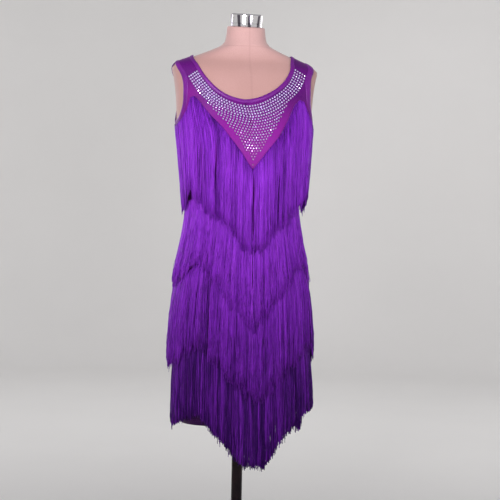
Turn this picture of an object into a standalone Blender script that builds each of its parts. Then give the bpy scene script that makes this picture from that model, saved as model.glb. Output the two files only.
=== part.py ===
"""Latin dance dress in four tiers of fringe, on a limbless dress form with a pole and a round base.

Metres, +Z up. The origin is on the pole's axis, under the base, and the front of the dress faces -Y.
Cloth, tape and fringe are all laid out from one surface, given by level sections: an angle turns
from the centre front (0) through the side (90 degrees, +X) to the centre back (180).
"""
import math

import bmesh
import bpy
from mathutils import Vector

# ---- driving sizes ---------------------------------------------------------------------------
CLOTH_GAP = 0.0018      # least room between the form and the cloth
CLOTH = 0.0012          # thickness of the stretch cloth
SEAM = 0.0004           # gap between pieces that are sewn or fitted together
BINDING_WIDTH = 0.010
BINDING_IN, BINDING_OUT = -0.0001, 0.0018     # its two faces, from the cloth's inner face

HEM = 0.459             # height of the dress's own hem, under the fringe
UNDERARM = 1.235        # lowest point of the armhole
SHOULDER_OUT = 1.3835   # height of the shoulder line at the armhole
SHOULDER_IN = 1.403     # and at the neckline
SHOULDER_SLOPE = math.radians(22.6)
NECK_HALF = 0.1287      # half the neckline's width, on the shoulder line
SCOOP_FRONT = 1.289     # lowest point of the neckline, front
SCOOP_BACK = 1.340      # and back
ARM_FRONT, ARM_BACK = 0.050, 0.050            # how far the armhole reaches forward and back
ARM_ROUND = 0.8         # below 1, the armhole is squarer than an ellipse

HALF_COLUMNS = 9        # grid of a panel, from the side seam to the centre
SKIRT_ROWS, YOKE_ROWS = 21, 11

LOCKS = 48              # locks of fringe round each tier
LOCK_SHARE = 0.80       # part of the pitch that a lock fills, the rest is the gap
TAPE_IN, TAPE_OUT = 0.0022, 0.0035            # the fringe's heading, from the cloth's inner face
TAPE_HEIGHT = 0.008
LOCK_OUT = 0.0050       # outer face of a lock, from the cloth's inner face

TORSO_BOTTOM = 0.690
NECK_TOP = 1.483
NECK_LEAN = math.radians(10.0)
FORM_COLUMNS = 36

CAP_RADIUS, CAP_HEIGHT = 0.0405, 0.033
POLE_RADIUS = 0.014
FLANGE_RADIUS, FLANGE_HEIGHT = 0.050, 0.006
SOCKET_RADIUS, SOCKET_HEIGHT = 0.020, 0.034
BASE_RADIUS, BASE_HEIGHT = 0.200, 0.006
HUB_RADIUS, HUB_HEIGHT = 0.034, 0.028

# Level sections of the body: half the width, depth in front of and behind the axis, squareness of
# the section (2 is an ellipse), and the room that the cloth leaves beyond CLOTH_GAP.
SECTIONS = (
    # height, half_width, front, back, square, ease
    (0.440, 0.1440, 0.090, 0.100, 2.2, 0.0000),
    (0.560, 0.1530, 0.095, 0.110, 2.2, 0.0030),
    (0.690, 0.1570, 0.100, 0.116, 2.2, 0.0055),
    (0.740, 0.1600, 0.106, 0.120, 2.2, 0.0030),
    (0.800, 0.1600, 0.110, 0.122, 2.2, 0.0014),
    (0.860, 0.1530, 0.110, 0.116, 2.2, 0.0015),
    (0.930, 0.1390, 0.104, 0.099, 2.2, 0.0045),
    (1.000, 0.1300, 0.096, 0.085, 2.2, 0.0070),
    (1.060, 0.1380, 0.100, 0.086, 2.2, 0.0060),
    (1.110, 0.1500, 0.106, 0.092, 2.2, 0.0030),
    (1.150, 0.1580, 0.110, 0.098, 2.2, 0.0015),
    (1.210, 0.1700, 0.108, 0.102, 2.2, 0.0010),
    (1.235, 0.1755, 0.103, 0.104, 2.3, 0.0010),
    (1.279, 0.1776, 0.094, 0.103, 2.5, 0.0010),
    (1.318, 0.1807, 0.085, 0.098, 2.7, 0.0010),
    (1.350, 0.1860, 0.075, 0.090, 2.8, 0.0010),
    (1.366, 0.1902, 0.068, 0.082, 2.8, 0.0012),
    (1.376, 0.1880, 0.062, 0.074, 2.7, 0.0012),
    (1.384, 0.1744, 0.057, 0.067, 2.6, 0.0008),
    (1.392, 0.1552, 0.053, 0.062, 2.6, 0.0004),
    (1.403, 0.1287, 0.051, 0.058, 2.6, 0.0002),
    (1.420, 0.0880, 0.051, 0.057, 2.4, 0.0004),
    (1.435, 0.0610, 0.051, 0.059, 2.2, 0.0004),
    (1.448, 0.0530, 0.048, 0.056, 2.1, 0.0004),
    (1.483, 0.0485, 0.046, 0.051, 2.0, 0.0004),
)
HEIGHT, HALF_WIDTH, FRONT, BACK, SQUARE, EASE = range(6)

# The bust, as two soft rises on the front.
BUST_SIDE, BUST_HEIGHT, BUST_RISE = 0.074, 1.158, 0.015
BUST_WIDE, BUST_TALL = 0.050, 0.056

# Each tier's heading dips at the centre front, peaks over the bust, dips again at the side seam, and
# goes round the back in the same way. Its rows give, by angle, the height of the heading, the length
# of the fringe, and how straight it falls (1 hangs plumb, 0 follows the body). The pattern is turned
# by turn degrees, the ends stand off by flare, sway carries them to +X, cuts are a lock's sections,
# and proud lifts the heading clear of a rounder part of the body.
TIERS = (
    dict(name="fringe_tier_1", proud=0.0005, turn=0.0, flare=0.010, sway=0.003, cuts=(0.1, 0.35, 0.65, 1.0), rows=(
        # angle, height, length, straight
        (0, 1.110, 0.205, 0.75), (46, 1.290, 0.232, 0.75), (58, 1.256, 0.230, 0.45), (70, 1.233, 0.222, 0.30),
        (90, 1.222, 0.214, 0.25), (110, 1.233, 0.222, 0.30), (122, 1.256, 0.230, 0.45),
        (134, 1.290, 0.232, 0.50), (180, 1.165, 0.210, 0.50))),
    dict(name="fringe_tier_2", proud=0.0004, turn=5.0, flare=0.0125, sway=0.0, cuts=(0.1, 0.5, 1.0), rows=(
        (0, 0.916, 0.210, 0.50), (49, 1.086, 0.210, 0.40), (90, 1.019, 0.210, 0.30),
        (131, 1.086, 0.210, 0.40), (180, 0.960, 0.210, 0.40))),
    dict(name="fringe_tier_3", proud=0.0, turn=6.0, flare=0.024, sway=0.003, cuts=(0.1, 0.5, 1.0), rows=(
        (0, 0.738, 0.210, 0.50), (49, 0.882, 0.208, 0.50), (90, 0.820, 0.210, 0.50),
        (131, 0.882, 0.208, 0.50), (180, 0.775, 0.210, 0.50))),
    dict(name="fringe_tier_4", proud=0.0, turn=5.0, flare=0.024, sway=0.009, cuts=(0.1, 0.5, 1.0), rows=(
        (0, 0.574, 0.210, 0.50), (49, 0.699, 0.210, 0.50), (90, 0.665, 0.210, 0.50),
        (131, 0.699, 0.210, 0.50), (180, 0.606, 0.210, 0.50))),
)
FLARE_BEND = 0.6        # below 1, the fringe leaves the cloth near its heading
RAGGED = 0.0045         # locks end this much longer or shorter than their tier's line

COLOURS = {
    # name: colour (linear RGB), roughness, metallic
    "purple_cloth": ((0.130, 0.022, 0.240), 0.55, 0.0),
    "purple_binding": ((0.240, 0.040, 0.400), 0.50, 0.0),
    "purple_fringe": ((0.190, 0.030, 0.450), 0.45, 0.0),
    "form_cloth": ((0.680, 0.430, 0.400), 0.85, 0.0),
    "chrome": ((0.800, 0.800, 0.820), 0.12, 1.0),
    "dark_metal": ((0.020, 0.012, 0.016), 0.35, 0.8),
}


# ---- the surface everything is laid out on ----------------------------------------------------
def section(column, height):
    """Value of a column of SECTIONS at a height, on a smooth curve through the rows."""
    rows = SECTIONS
    height = min(max(height, rows[0][HEIGHT]), rows[-1][HEIGHT])
    k = max(i for i in range(len(rows) - 1) if rows[i][HEIGHT] <= height)

    def slope(i):
        lo, hi = rows[max(i - 1, 0)], rows[min(i + 1, len(rows) - 1)]
        return (hi[column] - lo[column]) / (hi[HEIGHT] - lo[HEIGHT])

    step = rows[k + 1][HEIGHT] - rows[k][HEIGHT]
    t = (height - rows[k][HEIGHT]) / step
    return ((1 + 2 * t) * (1 - t) ** 2 * rows[k][column] + t * (1 - t) ** 2 * step * slope(k)
            + t * t * (3 - 2 * t) * rows[k + 1][column] - t * t * (1 - t) * step * slope(k + 1))


def power(value, exponent):
    return math.copysign(abs(value) ** exponent, value)


def body_point(turn, height):
    """Point of the form's skin at an angle from the centre front, in radians, and a height."""
    exponent = 2.0 / section(SQUARE, height)
    x = section(HALF_WIDTH, height) * power(math.sin(turn), exponent)
    depth = section(FRONT if math.cos(turn) > 0 else BACK, height)
    y = -depth * power(math.cos(turn), exponent)
    if y < 0:
        for side in (-1, 1):
            out = ((x - side * BUST_SIDE) / BUST_WIDE) ** 2 + ((height - BUST_HEIGHT) / BUST_TALL) ** 2
            y -= BUST_RISE * math.exp(-out)
    return Vector((x, y, height))


def surface_point(turn, height, lift=0.0, eased=True):
    """Point that stands off the skin by the cloth's gap and ease, and by a further lift."""
    d_turn, d_height = 1e-3, 1e-4
    across = body_point(turn + d_turn, height) - body_point(turn - d_turn, height)
    up = body_point(turn, height + d_height) - body_point(turn, height - d_height)
    normal = across.cross(up).normalized()
    off = lift + (CLOTH_GAP + section(EASE, height) if eased else 0.0)
    point = body_point(turn, height) + normal * off
    if abs(math.sin(turn)) < 1e-6:
        point.x = 0.0
    return point


def turn_at(x, height):
    """Angle, on the front, at which the skin has this x."""
    part = min(abs(x) / section(HALF_WIDTH, height), 1.0)
    return math.asin(part ** (section(SQUARE, height) / 2.0))


# ---- edges of the cloth: (angle, height), a width w inside the finished edge --------------------
def neck_edge(t, w, back):
    """Neckline from its lowest point (t = 0) to the shoulder line (t = 1)."""
    half = NECK_HALF + w * math.cos(SHOULDER_SLOPE)
    top = SHOULDER_IN - w * math.sin(SHOULDER_SLOPE)
    low = (SCOOP_BACK if back else SCOOP_FRONT) - w
    height = top - (top - low) * math.cos(t * math.pi / 2)
    turn = turn_at(half * math.sin(t * math.pi / 2), height) if t < 1 else math.pi / 2
    return (math.pi - turn if back else turn), height


def arm_edge(t, w, back):
    """Armhole from the underarm (t = 0) to the shoulder line (t = 1)."""
    low, top = UNDERARM - w, SHOULDER_OUT + w * math.sin(SHOULDER_SLOPE)
    height = (low + top) / 2 - (top - low) / 2 * power(math.cos(t * math.pi), ARM_ROUND)
    reach = (ARM_BACK if back else ARM_FRONT) + w
    y = reach * max(math.sin(t * math.pi), 0.0) ** ARM_ROUND
    part = min(y / section(BACK if back else FRONT, height), 1.0)
    turn = math.acos(part ** (section(SQUARE, height) / 2.0)) if 0 < t < 1 else math.pi / 2
    return (math.pi - turn if back else turn), height


def even_steps(edge, steps, w, back):
    """Parameters that cut an edge into steps of equal length."""
    fine = [i / 240 for i in range(241)]
    points = [body_point(*edge(t, w, back)) for t in fine]
    run = [0.0]
    for a, b in zip(points, points[1:]):
        run.append(run[-1] + (b - a).length)
    marks, k = [], 0
    for step in range(steps + 1):
        goal = run[-1] * step / steps
        while k < 239 and run[k + 1] < goal:
            k += 1
        marks.append(fine[k] + (goal - run[k]) / (run[k + 1] - run[k]) / 240)
    return marks


# ---- small helpers ------------------------------------------------------------------------------
def new_material(name):
    colour, roughness, metallic = COLOURS[name]
    material = bpy.data.materials.new(name)
    material.use_nodes = True
    shader = material.node_tree.nodes["Principled BSDF"]
    shader.inputs["Base Color"].default_value = (*colour, 1.0)
    shader.inputs["Roughness"].default_value = roughness
    shader.inputs["Metallic"].default_value = metallic
    material.diffuse_color = (*colour, 1.0)
    return material


def new_object(name, bm, material, collection):
    mesh = bpy.data.meshes.new(name)
    bm.to_mesh(mesh)
    bm.free()
    mesh.materials.append(new_material(material))
    mesh.shade_smooth()
    mesh.set_sharp_from_angle(angle=math.radians(40))
    thing = bpy.data.objects.new(name, mesh)
    collection.objects.link(thing)
    return thing


def grid(columns, rows, place):
    """Grid of quads whose points are placed by place(column, row)."""
    bm = bmesh.new()
    made = bmesh.ops.create_grid(bm, x_segments=columns, y_segments=rows, size=1.0)
    for i, vert in enumerate(made["verts"]):
        vert.co = place(i % (columns + 1), i // (columns + 1))
    return bm


def close_seams(bm):
    bmesh.ops.remove_doubles(bm, verts=bm.verts, dist=1e-6)
    bmesh.ops.recalc_face_normals(bm, faces=bm.faces)


# ---- the dress ------------------------------------------------------------------------------------
def make_panel(name, back, collection):
    """Half a panel, from side seam and armhole to centre and neckline, mirrored and given thickness."""
    w = BINDING_WIDTH + SEAM
    arm = even_steps(arm_edge, YOKE_ROWS, w, back)
    neck = even_steps(neck_edge, YOKE_ROWS, w, back)
    inward = 1 if back else -1

    def place(column, row):
        u = column / HALF_COLUMNS
        side_turn, side_height = arm_edge(arm[max(row - SKIRT_ROWS, 0)], w, back)
        mid_turn, mid_height = neck_edge(neck[max(row - SKIRT_ROWS, 0)], w, back)
        turn = side_turn + (mid_turn - side_turn) * u
        bend = 2.4 - 1.4 * max(row - SKIRT_ROWS, 0) / YOKE_ROWS     # the lowest row dips under the armhole
        height = side_height + (mid_height - side_height) * u ** bend
        if row < SKIRT_ROWS:
            height = HEM + (height - HEM) * row / SKIRT_ROWS
        point = surface_point(turn, height)
        if column == 0 and (row <= SKIRT_ROWS) or row == SKIRT_ROWS + YOKE_ROWS:
            point.y = inward * SEAM / 2         # side seam and shoulder seam
        return point

    bm = grid(HALF_COLUMNS, SKIRT_ROWS + YOKE_ROWS, place)
    bmesh.ops.recalc_face_normals(bm, faces=bm.faces)
    middle = max(bm.faces, key=lambda face: abs(face.calc_center_median().y))
    if (middle.normal.y > 0) != back:
        bmesh.ops.reverse_faces(bm, faces=bm.faces)
    panel = new_object(name, bm, "purple_cloth", collection)
    mirror = panel.modifiers.new("Both halves", "MIRROR")
    mirror.merge_threshold = 0.0001
    wall = panel.modifiers.new("Cloth", "SOLIDIFY")
    wall.thickness = CLOTH
    wall.offset = 1.0
    return panel


def make_band(name, path, collection):
    """Binding: a closed strip of four faces round, run along path(i, w), which gives an angle and height."""
    inner, outer = BINDING_IN, BINDING_OUT
    corners = ((0.0, inner), (BINDING_WIDTH, inner), (BINDING_WIDTH, outer), (0.0, outer))
    count = path.steps

    def place(column, row):
        w, lift = corners[row % 4]
        return surface_point(*path(column % count, w), lift)

    bm = grid(count, 4, place)
    close_seams(bm)
    return new_object(name, bm, "purple_binding", collection)


class EdgePath:
    """Runs round a neckline or an armhole, up its front edge and down its back, in the panels' steps."""

    def __init__(self, edge, mirror=False, whole=False):
        self.edge, self.sign, self.whole = edge, (-1 if mirror else 1), whole
        self.half = YOKE_ROWS
        self.steps = self.half * (4 if whole else 2)
        w = BINDING_WIDTH + SEAM
        self.marks = {back: even_steps(edge, self.half, w, back) for back in (False, True)}

    def __call__(self, i, w):
        sign = self.sign
        if self.whole and i > self.steps // 2:
            i, sign = self.steps - i, -1
        back = i > self.half
        t = self.marks[back][2 * self.half - i if back else i]
        turn, height = self.edge(t, w, back)
        return sign * turn, height


def tier_values(tier, turn):
    """Height of the heading, length of the fringe and how straight it falls, at an angle in radians."""
    angle = abs(math.degrees(math.remainder(turn - math.radians(tier["turn"]), 2 * math.pi)))
    rows = tier["rows"]
    k = max(i for i in range(len(rows) - 1) if rows[i][0] <= angle)
    t = (angle - rows[k][0]) / (rows[k + 1][0] - rows[k][0])
    return tuple(rows[k][c] + (rows[k + 1][c] - rows[k][c]) * t for c in (1, 2, 3))


def hanging_point(tier, turn, uneven, lift, drop):
    """Point of a lock: it hangs from the widest part above it, and stands off more toward its end."""
    head, length, straight = tier_values(tier, turn)
    head -= TAPE_HEIGHT
    height = head - (length - TAPE_HEIGHT + uneven) * drop
    point = surface_point(turn, height, lift)
    reach = math.hypot(point.x, point.y)
    widest, level = reach, height
    while level < head:
        above = surface_point(turn, level, lift)
        widest = max(widest, math.hypot(above.x, above.y))
        level += 0.012
    out = (reach + (widest - reach) * straight + tier["flare"] * drop ** FLARE_BEND) / reach
    return Vector((point.x * out + tier["sway"] * drop, point.y * out, height))


def make_fringe(tier, collection):
    """A tape closed round the dress, with its under faces pulled down into locks that stand apart."""
    corners = ((TAPE_HEIGHT, TAPE_IN), (0.0, TAPE_IN), (0.0, TAPE_OUT), (TAPE_HEIGHT, TAPE_OUT))
    pitch = 2 * math.pi / LOCKS

    def column_turn(column):
        column %= 2 * LOCKS
        edge = 1 - LOCK_SHARE / 2 if column % 2 == 0 else LOCK_SHARE / 2
        return (column // 2 + (edge - 1 if column % 2 == 0 else edge) + 0.5) * pitch

    def place(column, row):
        down, lift = corners[row % 4]
        turn = column_turn(column)
        return surface_point(turn, tier_values(tier, turn)[0] - down, lift + tier["proud"])

    bm = grid(2 * LOCKS, 4, place)
    turns = bm.verts.layers.float.new("turn")
    outer = bm.verts.layers.int.new("outer")
    number = bm.faces.layers.int.new("lock")
    bm.verts.ensure_lookup_table()
    bm.faces.ensure_lookup_table()
    columns = 2 * LOCKS + 1
    for i, vert in enumerate(bm.verts):
        vert[turns] = column_turn(i % columns)
        vert[outer] = int(corners[i // columns % 4][1] == TAPE_OUT)
    for i, face in enumerate(bm.faces):
        column, row = i % (2 * LOCKS), i // (2 * LOCKS)
        face[number] = column // 2 + 1 if column % 2 == 0 and row == 3 else 0
    close_seams(bm)

    locks = [face for face in bm.faces if face[number]]
    for drop in tier["cuts"]:
        locks = bmesh.ops.extrude_discrete_faces(bm, faces=locks)["faces"]
        for face in locks:
            k = face[number]
            uneven = RAGGED * (math.sin(k * 2.4 + tier["turn"]) + 0.5 * math.sin(k * 5.3))
            for vert in face.verts:
                lift = (LOCK_OUT if vert[outer] else TAPE_IN) + tier["proud"]
                vert.co = hanging_point(tier, vert[turns], uneven, lift, drop)
    bmesh.ops.recalc_face_normals(bm, faces=bm.faces)
    return new_object(tier["name"], bm, "purple_fringe", collection)


# ---- the form and its stand -------------------------------------------------------------------------
def make_torso(collection):
    """Level sections from the bottom of the form to the top of its leaning neck."""
    levels = [row[HEIGHT] for row in SECTIONS if TORSO_BOTTOM < row[HEIGHT] < NECK_TOP]
    levels += [0.702, 0.895, 0.965, 1.030, 1.085, 1.180, 1.334]
    levels = sorted(levels) + [NECK_TOP - 0.003, NECK_TOP]

    def place(column, row):
        turn = 2 * math.pi * (column % FORM_COLUMNS) / FORM_COLUMNS
        if row == 0:                                    # rounded lower edge
            point = surface_point(turn, TORSO_BOTTOM + 0.012, -0.006, eased=False)
            point.z = TORSO_BOTTOM
            return point
        height = levels[row - 1]
        point = surface_point(turn, height, -0.002 if height == NECK_TOP else 0.0, eased=False)
        lean = min(max((height - 1.420) / (NECK_TOP - 1.420), 0.0), 1.0)
        point.z = height + point.y * math.tan(NECK_LEAN) * lean
        return point

    bm = grid(FORM_COLUMNS, len(levels), place)
    bmesh.ops.remove_doubles(bm, verts=bm.verts, dist=1e-6)
    bmesh.ops.holes_fill(bm, edges=[edge for edge in bm.edges if edge.is_boundary], sides=0)
    bmesh.ops.recalc_face_normals(bm, faces=bm.faces)
    return new_object("form_torso", bm, "form_cloth", collection)


def make_turned(name, profile, material, collection, steps=40):
    """Profile of (radius, height), top to bottom on its outer side, turned about the axis."""
    bm = bmesh.new()
    verts = [bm.verts.new((radius, 0.0, height)) for radius, height in profile]
    for a, b in zip(verts, verts[1:]):
        bm.edges.new((a, b))
    thing = new_object(name, bm, material, collection)
    screw = thing.modifiers.new("Turned", "SCREW")
    screw.steps = screw.render_steps = steps
    screw.use_merge_vertices = True
    screw.merge_threshold = 0.00001
    return thing


def main():
    for thing in list(bpy.data.objects):
        bpy.data.objects.remove(thing, do_unlink=True)
    collection = bpy.data.collections.new("latin_dance_dress")
    bpy.context.scene.collection.children.link(collection)

    make_panel("front_panel", False, collection)
    make_panel("back_panel", True, collection)
    make_band("neck_binding", EdgePath(neck_edge, whole=True), collection)
    make_band("armhole_binding_left", EdgePath(arm_edge), collection)
    make_band("armhole_binding_right", EdgePath(arm_edge, mirror=True), collection)
    for tier in TIERS:
        make_fringe(tier, collection)

    make_torso(collection)
    cap_top = CAP_HEIGHT
    cap = make_turned("neck_cap", (
        (0.0, cap_top), (CAP_RADIUS - 0.003, cap_top), (CAP_RADIUS, cap_top - 0.003),
        (CAP_RADIUS, 0.0), (0.0, 0.0)), "chrome", collection)
    neck_middle = (section(BACK, NECK_TOP) - section(FRONT, NECK_TOP)) / 2
    cap.location = (0.0, neck_middle, NECK_TOP + neck_middle * math.tan(NECK_LEAN) + SEAM)
    cap.rotation_euler.x = NECK_LEAN
    low = TORSO_BOTTOM - SEAM
    under = low - FLANGE_HEIGHT
    foot = under - SOCKET_HEIGHT
    make_turned("pole_flange", (
        (0.0, low), (FLANGE_RADIUS, low), (FLANGE_RADIUS, under), (SOCKET_RADIUS, under),
        (SOCKET_RADIUS, foot), (0.0, foot)), "dark_metal", collection)
    hub_top = BASE_HEIGHT + HUB_HEIGHT
    make_turned("pole", (
        (0.0, foot - SEAM), (POLE_RADIUS, foot - SEAM), (POLE_RADIUS, hub_top + SEAM), (0.0, hub_top + SEAM)),
        "dark_metal", collection, steps=24)
    make_turned("stand_base", (
        (0.0, hub_top), (SOCKET_RADIUS, hub_top), (HUB_RADIUS, BASE_HEIGHT + 0.004),
        (BASE_RADIUS - 0.003, BASE_HEIGHT), (BASE_RADIUS, BASE_HEIGHT - 0.003),
        (BASE_RADIUS, 0.0), (0.0, 0.0)), "dark_metal", collection, steps=48)


main()
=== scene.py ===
import math

import bmesh
import bpy
import numpy as np
from mathutils import Matrix, Vector


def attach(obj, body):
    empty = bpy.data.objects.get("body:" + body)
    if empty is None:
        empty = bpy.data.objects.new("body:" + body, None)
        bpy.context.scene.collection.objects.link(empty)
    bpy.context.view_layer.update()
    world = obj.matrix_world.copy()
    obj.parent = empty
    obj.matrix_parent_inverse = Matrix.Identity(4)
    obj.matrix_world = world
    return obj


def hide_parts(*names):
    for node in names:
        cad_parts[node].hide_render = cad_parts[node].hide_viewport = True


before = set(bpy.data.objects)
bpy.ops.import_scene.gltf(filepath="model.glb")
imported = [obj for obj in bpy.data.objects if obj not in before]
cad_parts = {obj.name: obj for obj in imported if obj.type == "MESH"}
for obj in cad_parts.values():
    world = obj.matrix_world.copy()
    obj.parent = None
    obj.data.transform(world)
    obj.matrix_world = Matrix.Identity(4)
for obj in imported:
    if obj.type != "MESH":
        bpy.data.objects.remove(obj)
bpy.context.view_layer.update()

print("frame loaded:", len(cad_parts), "nodes")


# The form's level sections. All cloth, tape and fringe is laid out from them: an angle turns from
# the centre front (0) through the side (90 degrees, +X) to the centre back (180).
body = {
    "gap": 0.0018,                      # least room between the form and the cloth
    "cloth": 0.0012,                    # thickness of the stretch cloth
    "bustSide": 0.074, "bustHeight": 1.158, "bustRise": 0.015, "bustWide": 0.050, "bustTall": 0.056,
    # how far the yoke hangs to one side, from and to which heights, and round to which cosine of the angle
    "strapShift": -0.010, "strapFrom": (1.31, 1.385), "strapRound": (-0.6, 0.0), "shiftEdge": 10,
    "strapDrop": 0.41, "dropFrom": (1.33, 1.385),
    "neckShift": -0.020, "neckFrom": (1.20, 1.30), "neckTo": (1.30, 1.42),
    "columns": ("height", "halfWidth", "front", "back", "square", "ease"),
    "sections": (
        (0.440, 0.1440, 0.090, 0.100, 2.2, 0.0000),
        (0.560, 0.1530, 0.095, 0.110, 2.2, 0.0030),
        (0.690, 0.1570, 0.100, 0.116, 2.2, 0.0055),
        (0.740, 0.1600, 0.106, 0.120, 2.2, 0.0030),
        (0.800, 0.1600, 0.110, 0.122, 2.2, 0.0014),
        (0.860, 0.1530, 0.110, 0.116, 2.2, 0.0015),
        (0.930, 0.1390, 0.104, 0.099, 2.2, 0.0045),
        (1.000, 0.1300, 0.096, 0.085, 2.2, 0.0070),
        (1.060, 0.1380, 0.100, 0.086, 2.2, 0.0060),
        (1.110, 0.1500, 0.106, 0.092, 2.2, 0.0030),
        (1.150, 0.1580, 0.110, 0.098, 2.2, 0.0015),
        (1.210, 0.1700, 0.108, 0.102, 2.2, 0.0010),
        (1.235, 0.1755, 0.103, 0.104, 2.3, 0.0010),
        (1.279, 0.1776, 0.094, 0.103, 2.5, 0.0010),
        (1.318, 0.1807, 0.085, 0.098, 2.7, 0.0010),
        (1.350, 0.1860, 0.075, 0.090, 2.8, 0.0010),
        (1.366, 0.1902, 0.068, 0.082, 2.8, 0.0012),
        (1.376, 0.1880, 0.062, 0.074, 2.7, 0.0012),
        (1.384, 0.1744, 0.057, 0.067, 2.6, 0.0008),
        (1.392, 0.1552, 0.053, 0.062, 2.6, 0.0004),
        (1.403, 0.1287, 0.051, 0.058, 2.6, 0.0002),
        (1.420, 0.0880, 0.051, 0.057, 2.4, 0.0004),
        (1.435, 0.0610, 0.051, 0.059, 2.2, 0.0004),
        (1.448, 0.0530, 0.048, 0.056, 2.1, 0.0004),
        (1.483, 0.0485, 0.046, 0.051, 2.0, 0.0004),
    ),
}
sections = np.array(body["sections"])
levels = sections[:, 0]


def slopeOfRow(i):
    low, high = sections[max(i - 1, 0)], sections[min(i + 1, len(sections) - 1)]
    return (high - low) / (high[0] - low[0])


slopes = np.array([slopeOfRow(i) for i in range(len(sections))])


def section(name, height):
    # One measure of the level sections at any height, on a smooth curve through the rows.
    c = body["columns"].index(name)
    height = np.clip(height, levels[0], levels[-1])
    k = np.clip(np.searchsorted(levels, height, side="right") - 1, 0, len(levels) - 2)
    step = levels[k + 1] - levels[k]
    t = (height - levels[k]) / step
    low = (1 + 2 * t) * (1 - t) ** 2 * sections[k, c] + t * (1 - t) ** 2 * step * slopes[k, c]
    high = t * t * (3 - 2 * t) * sections[k + 1, c] - t * t * (1 - t) * step * slopes[k + 1, c]
    return low + high


def power(value, exponent):
    return np.sign(value) * np.abs(value) ** exponent


def smoothStep(value, low, high):
    t = np.clip((value - low) / (high - low), 0, 1)
    return t * t * (3 - 2 * t)


def turnBetween(turn, start):
    # The shorter way round from one angle to another.
    return np.angle(np.exp(1j * (turn - start)))


def unit(vectors):
    return vectors / np.linalg.norm(vectors, axis=-1, keepdims=True)


def runOf(points):
    # The distance run along a line of points, at each of them.
    return np.concatenate([[0], np.cumsum(np.linalg.norm(np.diff(points, axis=0), axis=1))])


def bodyPoint(turn, height):
    turn, height = np.broadcast_arrays(np.asarray(turn, float), np.asarray(height, float))
    exponent = 2.0 / section("square", height)
    x = section("halfWidth", height) * power(np.sin(turn), exponent)
    depth = np.where(np.cos(turn) > 0, section("front", height), section("back", height))
    y = -depth * power(np.cos(turn), exponent)
    for side in (-1, 1):
        out = ((x - side * body["bustSide"]) / body["bustWide"]) ** 2
        out = out + ((height - body["bustHeight"]) / body["bustTall"]) ** 2
        y = np.where(y < 0, y - body["bustRise"] * np.exp(-out), y)
    return np.stack([x, y, height], axis=-1)


def slid(turn, height):
    # The dress hangs a little to one side of the form above the bust.
    turn, height = np.broadcast_arrays(np.asarray(turn, float), np.asarray(height, float))
    exponent = 2.0 / section("square", height)
    side = power(np.sin(turn), exponent)
    shift = body["strapShift"] * smoothStep(height, *body["strapFrom"])
    shift = shift * smoothStep(np.cos(turn), *body["strapRound"])
    neck = body["neckShift"] * smoothStep(height, *body["neckFrom"])
    neck = neck * (1 - smoothStep(height, *body["neckTo"])) * (1 - side ** 2) * (np.cos(turn) > 0)
    moved = (shift * (1 - np.abs(side) ** body["shiftEdge"]) + neck) / section("halfWidth", height)
    side = np.clip(side + moved, -1, 1)
    moved = np.arcsin(power(side, 1 / exponent))
    moved = np.where(np.cos(turn) < 0, np.where(side < 0, -math.pi, math.pi) - moved, moved)
    up = -body["strapDrop"] * shift * np.sin(turn) * smoothStep(height, *body["dropFrom"])
    return np.where(shift + neck == 0, turn, moved), height + up


def surfaceFrame(turn, height, lift=0.0, eased=True):
    # The point that stands off the skin by the cloth's room and a further lift, and its directions.
    dTurn, dHeight = 1e-3, 1e-4
    if eased:
        turn, height = slid(turn, height)
    across = bodyPoint(turn + dTurn, height) - bodyPoint(turn - dTurn, height)
    up = bodyPoint(turn, height + dHeight) - bodyPoint(turn, height - dHeight)
    normal = unit(np.cross(across, up))
    off = lift + (body["gap"] + section("ease", height) if eased else 0.0)
    off = np.broadcast_to(off, normal.shape[:-1])[..., None]
    return bodyPoint(turn, height) + normal * off, normal, unit(across)


def surfacePoint(turn, height, lift=0.0, eased=True):
    return surfaceFrame(turn, height, lift, eased)[0]


def turnAt(x, height):
    part = np.minimum(np.abs(x) / section("halfWidth", height), 1.0)
    return np.arcsin(part ** (section("square", height) / 2.0))


# The finished edges of the dress. An edge runs as t goes from 0 to 1: the neck's from the centre to
# the shoulder, an armhole's from the underarm to the shoulder. w is the distance inside the edge.
edges = {
    "hem": 0.459, "underarm": 1.235, "shoulderOut": 1.3850, "shoulderIn": 1.4042,
    "slope": math.radians(22.6),        # of the shoulder
    "neckHalf": 0.1260, "scoopFront": 1.2848, "scoopBack": 1.340, "neckBend": 1.11,
    "armReach": 0.050, "armRound": 0.8,
    "binding": 0.010,                   # width of the binding
}


def neckEdge(t, w, back):
    t = np.asarray(t, float)
    bend = 1.0 if back else edges["neckBend"]
    sine, cosine = np.sin(t * math.pi / 2), np.cos(t * math.pi / 2)
    sine, cosine = np.clip(sine, 1e-4, 1), np.clip(cosine, 1e-4, 1)
    deep = edges["shoulderIn"] - edges["scoopBack" if back else "scoopFront"]
    toX, toZ = deep * sine * cosine ** (bend - 1), -edges["neckHalf"] * cosine * sine ** (bend - 1)
    toZ = toZ - t ** 4 * toX * math.tan(edges["slope"])
    long = np.hypot(toX, toZ)
    x = np.where(t > 0, edges["neckHalf"] * sine ** bend, 0) + w * toX / long
    height = edges["shoulderIn"] - deep * np.where(t < 1, cosine ** bend, 0) + w * toZ / long
    turn = np.where(t < 1, turnAt(x, height), math.pi / 2)
    return (math.pi - turn if back else turn), height


def armEdge(t, w, back):
    t = np.asarray(t, float)
    low, top = edges["underarm"] - w, edges["shoulderOut"] + w * math.sin(edges["slope"])
    height = (low + top) / 2 - (top - low) / 2 * power(np.cos(t * math.pi), edges["armRound"])
    y = (edges["armReach"] + w) * np.maximum(np.sin(t * math.pi), 0.0) ** edges["armRound"]
    part = np.minimum(y / section("back" if back else "front", height), 1.0)
    turn = np.where((t > 0) & (t < 1), np.arccos(part ** (section("square", height) / 2.0)), math.pi / 2)
    return (math.pi - turn if back else turn), height


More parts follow.
